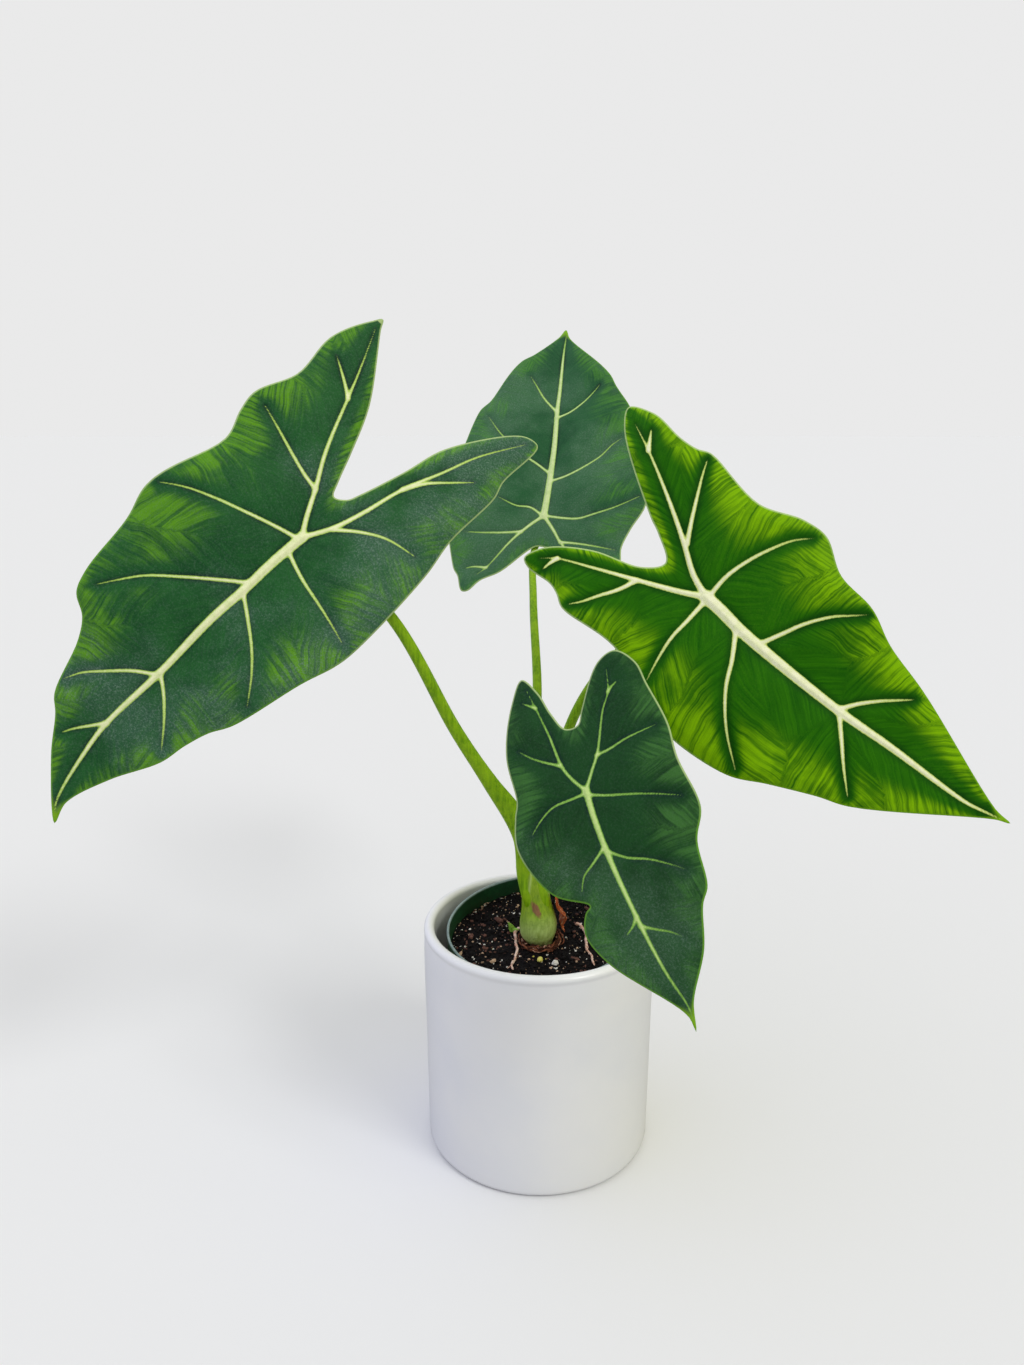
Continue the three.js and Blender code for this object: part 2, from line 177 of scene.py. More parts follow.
gridWork = dict(strayPasses=4, spreadPasses=30, nearRings=3, smoothPasses=6)


def inOutline(places, outline):  # which places lie inside a closed outline
    inside = np.zeros(len(places), bool)
    for a, b in zip(outline, np.roll(outline, -1, 0)):
        crosses = (a[1] > places[:, 1]) != (b[1] > places[:, 1])
        if crosses.any():
            x = a[0] + (places[:, 1] - a[1]) / (b[1] - a[1] + 1e-12) * (b[0] - a[0])
            inside ^= crosses & (places[:, 0] < x)
    return inside


def borderLoop(bm):  # the vertices round the border, in order
    loop, previous = [next(v for v in bm.verts if v.is_boundary)], None
    while True:
        ahead = [e.other_vert(loop[-1]) for e in loop[-1].link_edges if e.is_boundary]
        following = next(v for v in ahead if v is not previous)
        if following is loop[0]:
            return loop
        previous = loop[-1]
        loop.append(following)


def spreadOut(along, pinned):  # evens out places round a closed line, apart from the pinned one
    along = np.unwrap(along * 2 * math.pi) / (2 * math.pi)
    whole = round(along[-1] - along[0])
    if pinned is not None:
        along[pinned] = round(along[pinned])
    for _ in range(gridWork["spreadPasses"]):
        before = np.roll(along, 1)
        before[0] -= whole
        after = np.roll(along, -1)
        after[-1] += whole
        eased = 0.5 * along + 0.25 * (before + after)
        if pinned is not None:
            eased[pinned] = along[pinned]
        along = eased
    return along % 1


def flatPlaces(bm):
    return np.array([v.co[:2] for v in bm.verts])


def gridDisc(outline, cell, pin=None):  # a grid cut to a closed outline, with its border moved onto it
    low, high = outline.min(0) - cell, outline.max(0) + cell
    columns, rows = (int(n) for n in np.ceil((high - low) / cell))
    bm = bmesh.new()
    bmesh.ops.create_grid(bm, x_segments=columns, y_segments=rows, size=0.5)
    spread = Matrix.Diagonal((columns * cell, rows * cell, 1, 1))
    middle = ((low + high) / 2).tolist()
    bmesh.ops.transform(bm, matrix=move((*middle, 0)) @ spread, verts=bm.verts)
    outside = [v for v, keep in zip(bm.verts, inOutline(flatPlaces(bm), outline)) if not keep]
    bmesh.ops.delete(bm, geom=outside, context="VERTS")
    for _ in range(gridWork["strayPasses"]):
        stray = [v for v in bm.verts if not v.link_faces or sum(e.is_boundary for e in v.link_edges) > 2]
        bmesh.ops.delete(bm, geom=stray, context="VERTS")
    loop = borderLoop(bm)
    pinned = None
    if pin is not None:
        pinned = int(np.argmin([(Vector(pin) - v.co.xy).length for v in loop]))
    closed = np.vstack([outline, outline[:1]])
    lengths = runLengths(closed)
    _, along = nearestOnLine(np.array([v.co[:2] for v in loop]), closed)
    at = spreadOut(along, pinned) * lengths[-1]
    for v, x, y in zip(loop, np.interp(at, lengths, closed[:, 0]), np.interp(at, lengths, closed[:, 1])):
        v.co.x, v.co.y = x, y
    near = set(loop)
    for _ in range(gridWork["nearRings"]):
        near |= {e.other_vert(v) for v in near for e in v.link_edges}
    inner = list(near - set(loop))
    for _ in range(gridWork["smoothPasses"]):
        bmesh.ops.smooth_vert(bm, verts=inner, factor=0.5, use_axis_x=True, use_axis_y=True)
    return bm


def paint(red, green, blue):  # screen colour, 0 to 255, as the renderer's own light values
    parts = [c / 255 for c in (red, green, blue)]
    return (*[p / 12.92 if p < 0.04 else ((p + 0.055) / 1.055) ** 2.4 for p in parts], 1)


class Nodes:  # short calls for the nodes of a material or of the world
    def __init__(self, tree):
        self.tree = tree

    def put(self, made, key, value):
        if isinstance(value, bpy.types.NodeSocket):
            self.tree.links.new(value, made.inputs[key])
        else:
            made.inputs[key].default_value = value

    def add(self, kind, inputs, **settings):
        made = self.tree.nodes.new(kind)
        for key, value in settings.items():
            setattr(made, key, value)
        for key, value in inputs.items():
            self.put(made, key, value)
        return made

    def mix(self, share, a, b):
        return self.add("ShaderNodeMix", {0: share, 6: a, 7: b}, data_type="RGBA").outputs[2]


class Finish(Nodes):  # a material with short calls for its patterns
    def __init__(self, name, fixed):
        self.material = bpy.data.materials.new(name)
        self.material.use_nodes = True
        super().__init__(self.material.node_tree)
        self.shader = self.tree.nodes["Principled BSDF"]
        for key, value in fixed.items():
            self.shader.inputs[key].default_value = value

    def place(self):  # object coordinates in mm
        spot = self.add("ShaderNodeTexCoord", {}).outputs["Object"]
        return self.add("ShaderNodeVectorMath", {0: spot, "Scale": 1000.0}, operation="SCALE").outputs[0]

    def stretch(self, where, share):  # draws a pattern out along Z
        return self.add("ShaderNodeMapping", {"Vector": where, "Scale": (1.0, 1.0, share)}).outputs[0]

    def field(self, name):  # the three numbers that setField put on a piece
        read = self.add("ShaderNodeAttribute", {}, attribute_name=name)
        return self.add("ShaderNodeSeparateXYZ", {0: read.outputs["Vector"]}).outputs[:3]

    def grain(self, where, scale, detail=3.0, roughness=0.55):
        inputs = {"Vector": where, "Scale": scale, "Detail": detail, "Roughness": roughness}
        return self.add("ShaderNodeTexNoise", inputs).outputs["Fac"]

    def span(self, value, low, high, fromZero=0.0, toOne=1.0):  # eased step from low to high
        return self.add("ShaderNodeMapRange", {
            "Value": value, "From Min": low, "From Max": high, "To Min": fromZero, "To Max": toOne,
        }, interpolation_type="SMOOTHSTEP").outputs["Result"]

    def blots(self, where, scale, detail, roughness, low, high):  # grain with its contrast raised
        return self.span(self.grain(where, scale, detail, roughness), low, high)

    def ragged(self, where, scale, detail, roughness, reach):  # grain about zero, to unsettle a border
        return self.times(self.minus(self.grain(where, scale, detail, roughness), 0.5), reach)

    def times(self, a, b):
        return self.add("ShaderNodeMath", {0: a, 1: b}, operation="MULTIPLY").outputs[0]

    def plus(self, a, b):
        return self.add("ShaderNodeMath", {0: a, 1: b}, operation="ADD").outputs[0]

    def minus(self, a, b):
        return self.add("ShaderNodeMath", {0: a, 1: b}, operation="SUBTRACT").outputs[0]

    def tint(self, body, mask, share, colour):  # lays a colour over the body where the mask is
        return self.mix(self.times(mask, share), body, colour)

    def vector(self, x, y, z):
        return self.add("ShaderNodeCombineXYZ", {0: x, 1: y, 2: z}).outputs[0]

    def bump(self, height, distance, strength=1.0, under=None):
        inputs = {"Height": height, "Distance": distance * mm, "Strength": strength}
        if under is not None:
            inputs["Normal"] = under
        return self.add("ShaderNodeBump", inputs).outputs["Normal"]

    def use(self, colour, roughness, normal):
        self.put(self.shader, "Base Color", colour)
        self.put(self.shader, "Roughness", roughness)
        self.put(self.shader, "Normal", normal)
        return self.material


def velvetWeave(finish, look, where):  # fine threads that run from the veins to the margin
    along, away, seam = finish.field("streakField")
    slanted = finish.minus(along, finish.times(away, look["lean"]))
    slanted = finish.plus(slanted, finish.ragged(where, 0.06, 2.0, 0.55, 7.0))
    drawn = finish.vector(slanted, finish.times(away, 0.07), 0.0)
    feather = finish.blots(drawn, look["featherScale"], 2.0, 0.5, 0.30, 0.70)
    thread = finish.blots(drawn, look["featherScale"] * 2.6, 3.0, 0.6, 0.30, 0.72)
    weave = finish.plus(finish.times(feather, 0.6), finish.times(thread, 0.4))
    return finish.times(weave, finish.span(seam, 0.0, 3.0, 0.75, 1.0))


def velvetPaintedSheen(finish, look, where):  # a pale painted sheen over the velvet, thicker on one side or towards one end
    _, far, side = finish.field("tipField")
    leaning = finish.minus(finish.grain(where, 0.02, 3.0, 0.6), finish.times(side, look["paintedSheenLean"]))
    leaning = finish.minus(leaning, finish.times(finish.minus(far, 0.6), look["paintedSheenFall"]))
    return finish.span(leaning, 0.42, 0.66)


def velvetLight(finish, look, where, weave):  # where the bright green lies: away from the veins, in patches
    toVein, _, outward = finish.field("veinField")
    patch = finish.blots(where, 0.035, 4.0, 0.62, look["patchLow"], look["patchLow"] + 0.26)
    lit = finish.span(outward, look["brightStart"], look["brightStart"] + 0.5)
    lit = finish.plus(lit, look["brightInside"])
    lit = finish.times(lit, finish.span(toVein, 1.0, look["brightClear"]))
    lit = finish.times(lit, finish.plus(finish.times(patch, 0.8), look["patchFloor"]))
    lit = finish.times(lit, finish.plus(weave, look["weaveFloor"]))
    return finish.span(lit, 0.03, look["brightFull"])


def velvetEdge(finish, look, body):  # the pale line along the margin, partly a painted highlight where it turns paler towards the lobes, and the bright tip
    toMargin = finish.field("veinField")[1]
    toTip, far, _ = finish.field("tipField")
    # painted highlight, in part: far from the tip, where the lobes rise, the margin line turns to the pale
    # rim colour
    edgeColour = finish.mix(finish.span(far, 0.75, 1.0), look["edge"], look["rim"])
    body = finish.tint(body, finish.span(toMargin, 0.95, 0.35), look["edgeShare"], edgeColour)
    tip = finish.span(finish.plus(toTip, finish.times(toMargin, 2.5)), 17.0, 5.0)
    return finish.tint(body, tip, 0.85, look["tip"])


def velvetRibs(finish, look, where, body):  # cream veins with a greener, slightly ragged border
    toVein = finish.field("veinField")[0]
    ribLine = finish.plus(toVein, finish.ragged(where, 0.9, 3.0, 0.7, 0.55))
    rib = finish.mix(finish.span(ribLine, -0.05, -0.62), look["veinEdge"], look["vein"])
    rib = finish.tint(rib, finish.blots(where, 0.35, 3.0, 0.55, 0.35, 0.7), 0.3, look["veinEdge"])
    return finish.mix(finish.span(ribLine, 0.30, -0.14), body, rib)


def velvetFinish(name, look):  # the upper face of a blade
    finish = Finish(name, {"Sheen Weight": look["sheen"], "Sheen Roughness": 0.45,
                           "Sheen Tint": look["sheenTint"], "Specular IOR Level": look["gloss"]})
    where = finish.place()
    weave = velvetWeave(finish, look, where)
    paintedSheen = velvetPaintedSheen(finish, look, where)
    # painted shade: the green is darker in a band along each vein
    clear = finish.span(finish.field("veinField")[0], look["haloStart"], look["haloEnd"])
    body = finish.mix(clear, look["halo"], look["deep"])
    cloud = finish.blots(where, 0.05, 5.0, 0.65, 0.36, 0.66)
    body = finish.tint(body, cloud, look["middleShare"], look["middle"])
    # painted sheen: pale colour laid over the body in soft patches, standing in for light on the velvet
    body = finish.tint(body, paintedSheen, look["paintedSheenShare"], look["paintedSheen"])
    body = finish.tint(body, finish.times(weave, clear), look["weaveShare"], look["middle"])
    body = finish.tint(body, velvetLight(finish, look, where, weave), look["brightShare"], look["bright"])
    # painted glints: fine specks for the sparkle of the velvet's hairs, thicker where the painted sheen lies
    paintedGlint = finish.blots(where, 1.1, 4.0, 0.9, 0.47, 0.64)
    paintedGlint = finish.times(paintedGlint, finish.plus(finish.times(paintedSheen, 0.75), 0.25))
    body = finish.tint(body, paintedGlint, look["paintedGlintShare"], look["paintedGlint"])
    body = finish.tint(body, finish.blots(where, 1.4, 3.0, 0.75, 0.44, 0.30), look["dotShare"], look["halo"])
    colour = velvetRibs(finish, look, where, velvetEdge(finish, look, body))
    fine = finish.grain(where, 1.6, 3.0, 0.7)
    roughness = finish.span(fine, 0.2, 0.8, look["roughness"] - 0.08, look["roughness"] + 0.1)
    return finish.use(colour, roughness, finish.bump(fine, 0.06, 0.4, finish.bump(weave, 0.12, 0.4)))


def undersideFinish(name, look):  # the lower face: paler, with raised ribs
    finish = Finish(name, {"Specular IOR Level": 0.35})
    where = finish.place()
    toVein, toMargin, _ = finish.field("veinField")
    along, away, _ = finish.field("streakField")
    slanted = finish.minus(along, finish.times(away, 0.55))
    drawn = finish.vector(slanted, finish.times(away, 0.12), 0.0)
    feather = finish.blots(drawn, 0.5, 3.0, 0.6, 0.36, 0.66)
    cloud = finish.blots(where, 0.05, 3.0, 0.6, 0.35, 0.68)
    net = finish.blots(where, 0.9, 4.0, 0.7, 0.45, 0.7)
    body = finish.mix(cloud, look["underDeep"], look["under"])
    body = finish.tint(body, feather, 0.3, look["underPale"])
    body = finish.tint(body, net, 0.25, look["underDeep"])
    body = finish.mix(finish.span(toVein, 0.5, -0.4), body, look["underVein"])
    body = finish.tint(body, finish.span(toMargin, 1.3, 0.3), 0.8, look["edge"])
    roughness = finish.span(finish.grain(where, 1.3, 3.0, 0.7), 0.2, 0.8, 0.42, 0.6)
    return finish.use(body, roughness, finish.bump(net, 0.05, 0.4, finish.bump(feather, 0.14, 0.5)))


def edgeFinish(look):  # the thin cut edge of a blade
    finish = Finish("bladeEdge", {"Specular IOR Level": 0.4})
    fleck = finish.blots(finish.place(), 0.4, 3.0, 0.55, 0.3, 0.7)
    colour = finish.mix(fleck, look["rim"], look["edge"])
    return finish.use(colour, finish.span(fleck, 0.0, 1.0, 0.45, 0.6), finish.bump(fleck, 0.05, 0.3))


blades = dict(
    cell=1.1, fineReach=1.3, thickness=0.7, edgeShare=0.35, thinReach=3, foldSlope=0.2, foldSoftness=6,
    waveHeight=1.8, waveReach=50, waveLength=60, waveShift=1.6, quiltHeight=1.7, quiltReach=7, quiltMargin=6,
    grooveDepth=0.2, grooveWidth=1.1, underGroove=0.3, ribRise=0.4, underRib=0.62, ribLimit=2.4,
    midrib=dict(width=2.25, taper=0.6), costa=dict(width=1.15, taper=0.8),
    lateral=dict(width=0.85, taper=0.6), tipWidth=-0.04, veinsAt=168, halfWidth=60, filletSize=0.55,
    veinStep=1.5, unseenSteps=16, streakShift=97,
)

darkLook = dict(
    veinScale=1.0, halo=paint(14, 46, 34), deep=paint(20, 72, 36), middle=paint(40, 104, 46),
    middleShare=0.55, weaveShare=0.55, paintedSheen=paint(70, 102, 88), paintedSheenShare=0.62, paintedSheenLean=0.16, paintedSheenFall=0.0,
    bright=paint(108, 172, 20), brightShare=0.74, brightStart=0.3, brightInside=0.06, brightClear=8,
    brightFull=1.0, patchLow=0.33, patchFloor=0.28, weaveFloor=0.12, haloStart=0.1, haloEnd=2.4,
    featherScale=0.42, lean=1.2, paintedGlint=paint(126, 152, 136), paintedGlintShare=0.6, dotShare=0.4,
    edge=paint(112, 170, 50), edgeShare=0.75, tip=paint(136, 188, 24), vein=paint(252, 255, 204),
    # rim: pale margin colour towards the lobes, partly a painted highlight; the cut edge uses it too
    veinEdge=paint(184, 218, 100), rim=paint(196, 220, 150), sheen=0.03, sheenTint=paint(190, 215, 205),
    gloss=0.1, roughness=0.55, under=paint(132, 160, 104), underDeep=paint(96, 132, 72),
    underPale=paint(160, 184, 128), underVein=paint(196, 208, 150),
)
brightLook = dict(
    darkLook, veinScale=1.28, halo=paint(8, 64, 4), deep=paint(12, 80, 0), middle=paint(50, 122, 0),
    middleShare=0.25, weaveShare=0.8, paintedSheen=paint(34, 110, 8), paintedSheenShare=0.3, paintedSheenLean=0.0,
    bright=paint(136, 192, 0), brightShare=0.95, brightStart=0.34, brightInside=0.08, brightClear=7,
    brightFull=1.6, patchLow=0.28, patchFloor=0.7, weaveFloor=0.2, haloEnd=4.0, featherScale=0.40,
    paintedGlint=paint(110, 165, 40), paintedGlintShare=0.12, dotShare=0.15, edge=paint(124, 178, 20), edgeShare=0.8,
    vein=paint(255, 255, 214), veinEdge=paint(208, 226, 118), sheen=0.0, gloss=0.06,
)
deepLook = dict(
    darkLook, deep=paint(16, 54, 22), middle=paint(30, 80, 34), paintedSheen=paint(70, 110, 74), paintedSheenShare=0.5,
    paintedSheenLean=0.0, paintedSheenFall=0.3, bright=paint(74, 128, 56), brightShare=0.6, vein=paint(206, 232, 144),
    veinEdge=paint(128, 178, 72), paintedGlintShare=0.28,
)
hazyLook = dict(
    darkLook, deep=paint(24, 76, 42), middle=paint(44, 100, 56), paintedSheen=paint(88, 128, 92), paintedSheenShare=0.5,
    paintedSheenLean=0.0, paintedSheenFall=-0.2, bright=paint(80, 144, 40), brightShare=0.65, vein=paint(220, 236, 170),
    veinEdge=paint(152, 194, 90), paintedGlintShare=0.35,
)

# outlines and veins are seen from above in each blade's own plane, with its junction at 0, 0 and its tip up
leaves = dict(
    left=dict(
        junction=(-108, -62, 345), pointing=(-0.639, -0.352, -0.684), facing=(0.226, -0.936, 0.27),
        sideRadius=180, droop=320, lobeDroop=220, look=darkLook, slot="blade_dark",
        outline=[
            (-2, 168), (18, 144), (28, 128), (34, 121), (41, 97), (46, 88), (54, 82), (57, 73), (60, 44),
            (63, 28),
            (53, -10), (57, -24), (58, -34), (51, -54), (54, -81), (46.5, -103), (44, -108), (40.5, -102),
            (19, -68),
            (10, -45), (5, -30), (2, -23.5), (-3, -26.5), (-5.5, -32), (-13, -55), (-19, -78), (-38, -111),
            (-45, -117), (-51, -117), (-50, -88), (-52, -77),
            (-50, -45), (-52, -25), (-51, 22), (-49, 33), (-43, 49), (-33, 82), (-27, 92), (-23, 103),
            (-20, 115),
            (-8, 136), (0, 157),
        ],
        midrib=[(0, 0), (2, 18), (3, 34), (5, 53), (6, 84), (9, 117), (8, 133), (4, 158), (0, 166)],
        costae=[
            [(0, 0), (4, -7), (10, -20), (18, -36), (28, -63), (34, -79), (43, -101)],
            [(0, 0), (-7, -12), (-12, -26), (-18, -48), (-26, -68), (-33, -88), (-46, -113)],
        ],
        laterals=[
            [(28, -63), (33, -67), (40, -72), (46, -76)],
            [(10, -20), (19, -22), (31, -26), (42, -30), (51, -33)],
            [(-18, -48), (-24, -58), (-32, -67), (-40, -76)], [(-8, -12), (-17, -19), (-28, -25), (-43, -28)],
            [(2, 2), (10, 4), (26, 9), (38, 13), (50, 18), (60, 24)],
            [(4, 31), (12, 37), (25, 47), (38, 58), (45, 67), (50, 74)],
            [(7, 87), (15, 92), (24, 100), (31, 107), (35, 114)], [(9, 117), (14, 123), (18, 128), (21, 133)],
            [(0, 9), (-12, 14), (-26, 18), (-36, 21), (-45, 24)],
            [(3, 35), (-8, 44), (-16, 51), (-24, 60), (-32, 72)], [(6, 85), (-1, 91), (-9, 100), (-17, 111)],
        ],
    ),
    right=dict(
        junction=(75, -48, 316), pointing=(0.773, -0.343, -0.534), facing=(-0.212, -0.933, 0.292),
        sideRadius=180, droop=380, lobeDroop=240, look=brightLook, slot="blade_bright",
        outline=[
            (-1, 173), (2, 166), (38, 109), (43, 95), (52, 74), (60, 57), (62, 28), (59, 17), (44, -20),
            (44, -52),
            (40, -59), (38, -65), (38, -80), (35, -85), (25, -79), (13, -58), (6, -33), (-2, -25), (-11, -36),
            (-16, -45), (-44, -83), (-55, -89), (-58, -75), (-54, -56), (-54, -46), (-56, -39), (-48, -6),
            (-54, 15), (-54, 27), (-43, 43), (-39, 63), (-31, 79), (-24, 102), (-2, 163),
        ],
        midrib=[(0, 0), (1, 9), (3, 21), (5, 47), (6, 80), (5, 106), (4, 150), (2, 160), (0, 169)],
        costae=[
            [(0, 0), (-5, -11), (-14, -23), (-23, -36), (-32, -50), (-41, -65), (-49, -80)],
            [(0, 0), (5, -11), (12, -30), (20, -53), (26, -70), (31, -78)],
        ],
        laterals=[
            [(-41, -65), (-46, -68), (-51, -71)],
            [(-15, -22), (-25, -27), (-36, -32), (-45, -36), (-53, -39)],
            [(26, -70), (31, -72), (35, -73)], [(13, -31), (21, -35), (29, -41), (36, -46), (41, -51)],
            [(0, 1), (-13, 2), (-25, 6), (-35, 11), (-43, 16), (-50, 23)],
            [(4, 32), (-7, 38), (-16, 43), (-26, 51), (-31, 57), (-36, 63)],
            [(6, 78), (-2, 84), (-9, 91), (-14, 97), (-19, 103)],
            [(1, 1), (14, 0), (25, -1), (36, 0), (48, 2)],
            [(4, 20), (16, 27), (27, 32), (36, 38), (45, 46), (56, 59)],
            [(6, 79), (16, 88), (25, 96), (35, 106)],
        ],
    ),
    front=dict(
        junction=(17, -103, 241), pointing=(0.338, -0.564, -0.754), facing=(-0.37, -0.816, 0.444),
        sideRadius=130, droop=220, lobeDroop=160, look=deepLook, slot="blade_dark",
        outline=[
            (1, 106), (1, 99), (21, 69), (25, 55), (21, 47), (18, 45), (31, 35), (38, 12), (34, -2), (31, -8),
            (29, -29), (19, -54), (12, -64), (6, -53), (3, -40), (-1, -30), (-7, -29), (-11, -35), (-25, -53),
            (-34, -55), (-41, -45), (-42, -33), (-44, -11), (-42, 4), (-42, 26), (-35, 38), (-31, 56),
            (-26, 62),
            (-18, 78), (-4, 95),
        ],
        midrib=[(0, 0), (1, 8), (2, 26), (2, 51), (1, 80), (-1, 96), (0, 102)],
        costae=[
            [(0, 0), (-5, -6), (-11, -13), (-20, -30), (-25, -37), (-28, -48)],
            [(0, 0), (3, -5), (6, -13), (7, -30), (9, -46), (11, -58)],
        ],
        laterals=[
            [(-25, -37), (-28, -39), (-31, -40)], [(-10, -12), (-17, -12), (-25, -13), (-39, -13)],
            [(9, -46), (12, -49), (15, -52)], [(7, -15), (11, -18), (17, -23), (23, -30)],
            [(0, 2), (-8, 6), (-18, 10), (-27, 14), (-37, 19)],
            [(2, 27), (-5, 33), (-13, 37), (-20, 42), (-26, 47)],
            [(2, 60), (-4, 64), (-9, 67), (-13, 71)], [(1, 1), (8, 1), (16, 1), (23, 4), (30, 9)],
            [(2, 25), (10, 30), (15, 33), (19, 39)], [(2, 56), (5, 59), (10, 62)],
        ],
    ),
    back=dict(
        junction=(5, 127, 339), pointing=(0.098, 0.609, 0.787), facing=(-0.197, -0.763, 0.615),
        sideRadius=190, droop=900, lobeDroop=400, look=hazyLook, slot="blade_dark",
        outline=[
            (-1, 164), (3, 154), (34, 114), (39, 103), (49, 83), (59, 54), (65, 16), (63, 3), (55, -11),
            (50, -25),
            (50, -36), (46, -47), (41, -49), (35, -44), (20, -34), (12, -27), (-1, -22), (-5, -23),
            (-24, -40),
            (-36, -46), (-43, -53), (-47, -53), (-51, -42), (-55, -35), (-65, 19), (-65, 37), (-57, 57),
            (-52, 88),
            (-45, 96), (-28, 131), (-20, 138), (-5, 156),
        ],
        midrib=[(0, 0), (1, 17), (2, 51), (1, 86), (1, 102), (0, 140), (0, 158)],
        costae=[
            [(0, 0), (7, -11), (12, -20), (19, -29), (28, -36), (38, -42)],
            [(0, 0), (-6, -5), (-13, -12), (-20, -20), (-33, -37), (-39, -42)],
        ],
        laterals=[
            [(-33, -37), (-42, -36), (-47, -37)], [(-13, -12), (-24, -13), (-37, -13), (-50, -12)],
            [(12, -20), (24, -22), (38, -25), (47, -27)],
            [(1, 0), (13, -3), (22, -4), (33, -1), (45, 3), (60, 10)],
            [(2, 26), (12, 29), (23, 35), (33, 43), (40, 52), (46, 57)],
            [(1, 78), (10, 82), (18, 89), (25, 99), (28, 105)],
            [(-1, 0), (-9, 6), (-18, 7), (-31, 14)],
            [(2, 31), (-7, 39), (-15, 45), (-25, 55), (-34, 64), (-45, 81)],
            [(1, 83), (-9, 96), (-15, 107), (-20, 116)],
        ],
    ),
)


def bladePlace(leaf):
    toTip = Vector(leaf["pointing"]).normalized()
    across = toTip.cross(Vector(leaf["facing"])).normalized()
    upperFace = across.cross(toTip)
    place = Matrix((across, toTip, upperFace)).transposed().to_4x4()
    place.translation = leaf["junction"]
    return place


def bladeRise(leaf, x, y):  # height of the curved blade over its flat plan
    b = blades
    fold = b["foldSlope"] * (np.hypot(x, b["foldSoftness"]) - b["foldSoftness"])
    arch = x * x / (2 * leaf["sideRadius"])
    bend = y * y / (2 * np.where(y > 0, leaf["droop"], leaf["lobeDroop"]))
    lag = np.where(x > 0, 0, b["waveShift"])
    wave = b["waveHeight"] * (x / b["waveReach"]) ** 2 * np.sin(2 * math.pi * y / b["waveLength"] + lag)
    return fold - arch - bend + wave


def veinLines(leaf):  # each vein's line, its half width along it, and its unseen way on to the margin
    b = blades
    families = [([leaf["midrib"]], b["midrib"]), (leaf["costae"], b["costa"]),
                (leaf["laterals"], b["lateral"])]
    size = leaf["outline"][0][1] / b["veinsAt"] * leaf["look"]["veinScale"]
    lines = []
    for veins, family in families:
        for vein in veins:
            line = evenLine(smoothLine(vein, 8), b["veinStep"])
            share = np.linspace(0, 1, len(line))
            widths = (b["tipWidth"] + family["width"] * (1 - share) ** family["taper"]) * size
            onward = (line[-1] - line[-4]) / np.linalg.norm(line[-1] - line[-4])
            steps = np.arange(1, b["unseenSteps"] + 1)[:, None] * b["veinStep"]
            line = np.vstack([line, line[-1] + steps * onward])
            lines.append((line, np.append(widths, widths[-1] - steps)))
    return lines


def bladeOutline(leaf):
    return smoothLine(leaf["outline"], 8, closed=True)


def veinFields(leaf, spots):  # where each spot lies between the veins, the margin and the tip
    gaps, alongs, aways = [], [], []
    for number, (line, widths) in enumerate(veinLines(leaf)):
        distance, along = nearestOnLine(spots, line)
        width = np.interp(along, np.linspace(0, 1, len(widths)), widths)
        gaps.append(distance - width)
        alongs.append(along * blades["veinStep"] * len(line) + number * blades["streakShift"])
        aways.append(distance)
    gaps, alongs, aways = (np.array(rows) for rows in (gaps, alongs, aways))
    k = blades["filletSize"]
    lowest = gaps.min(0)
    nearest, pick = gaps.argmin(0), np.arange(len(spots))
    outline = bladeOutline(leaf)
    toMargin, _ = nearestOnLine(spots, np.vstack([outline, outline[:1]]))
    toMain = aways[:1 + len(leaf["costae"])].min(0)
    toTip = np.hypot(*(spots - leaf["outline"][0]).T)
    return dict(
        toVein=lowest - k * np.log(np.exp(-(gaps - lowest) / k).sum(0)), toMargin=toMargin,
        outward=toMain / (toMain + toMargin + 1e-6), along=alongs[nearest, pick], away=aways[nearest, pick],
        seam=np.partition(gaps, 1, axis=0)[1] - lowest, toTip=toTip, far=toTip / leaf["outline"][0][1],
        side=spots[:, 0] / blades["halfWidth"],
    )


def bladeGrid(leaf):  # the blade's flat plan, with smaller cells along its veins
    bm = gridDisc(bladeOutline(leaf), blades["cell"], pin=leaf["outline"][0])
    close = veinFields(leaf, flatPlaces(bm))["toVein"] < blades["fineReach"]
    bm.verts.index_update()
    edges = [e for e in bm.edges if close[e.verts[0].index] and close[e.verts[1].index]]
    bmesh.ops.subdivide_edges(bm, edges=edges, cuts=1, use_grid_fill=True)
    bmesh.ops.triangulate(bm, faces=[f for f in bm.faces if len(f.verts) > 4])
    bmesh.ops.recalc_face_normals(bm, faces=bm.faces)
    if sum(f.normal.z for f in bm.faces) < 0:
        bmesh.ops.reverse_faces(bm, faces=bm.faces)
    return bm


def bladeHeights(leaf, spots, toVein, toMargin):  # of the upper and the lower face
    b = blades
    inBlade = np.clip(toMargin / b["quiltMargin"], 0, 1)
    quilt = b["quiltHeight"] * (1 - np.exp(-np.maximum(toVein, 0) / b["quiltReach"])) * inBlade
    middle = bladeRise(leaf, spots[:, 0], spots[:, 1]) + quilt
    thin = b["thickness"] * np.clip(b["edgeShare"] + toMargin / b["thinReach"], 0, 1) / 2
    ribs = np.maximum(-toVein, 0)
    groove = b["grooveDepth"] * np.exp(-(toVein / b["grooveWidth"]) ** 2)
    upper = middle + thin + ribs * b["ribRise"] - groove
    lower = middle - thin - np.minimum(ribs, b["ribLimit"]) * b["underRib"] - groove * b["underGroove"]
    return upper, lower


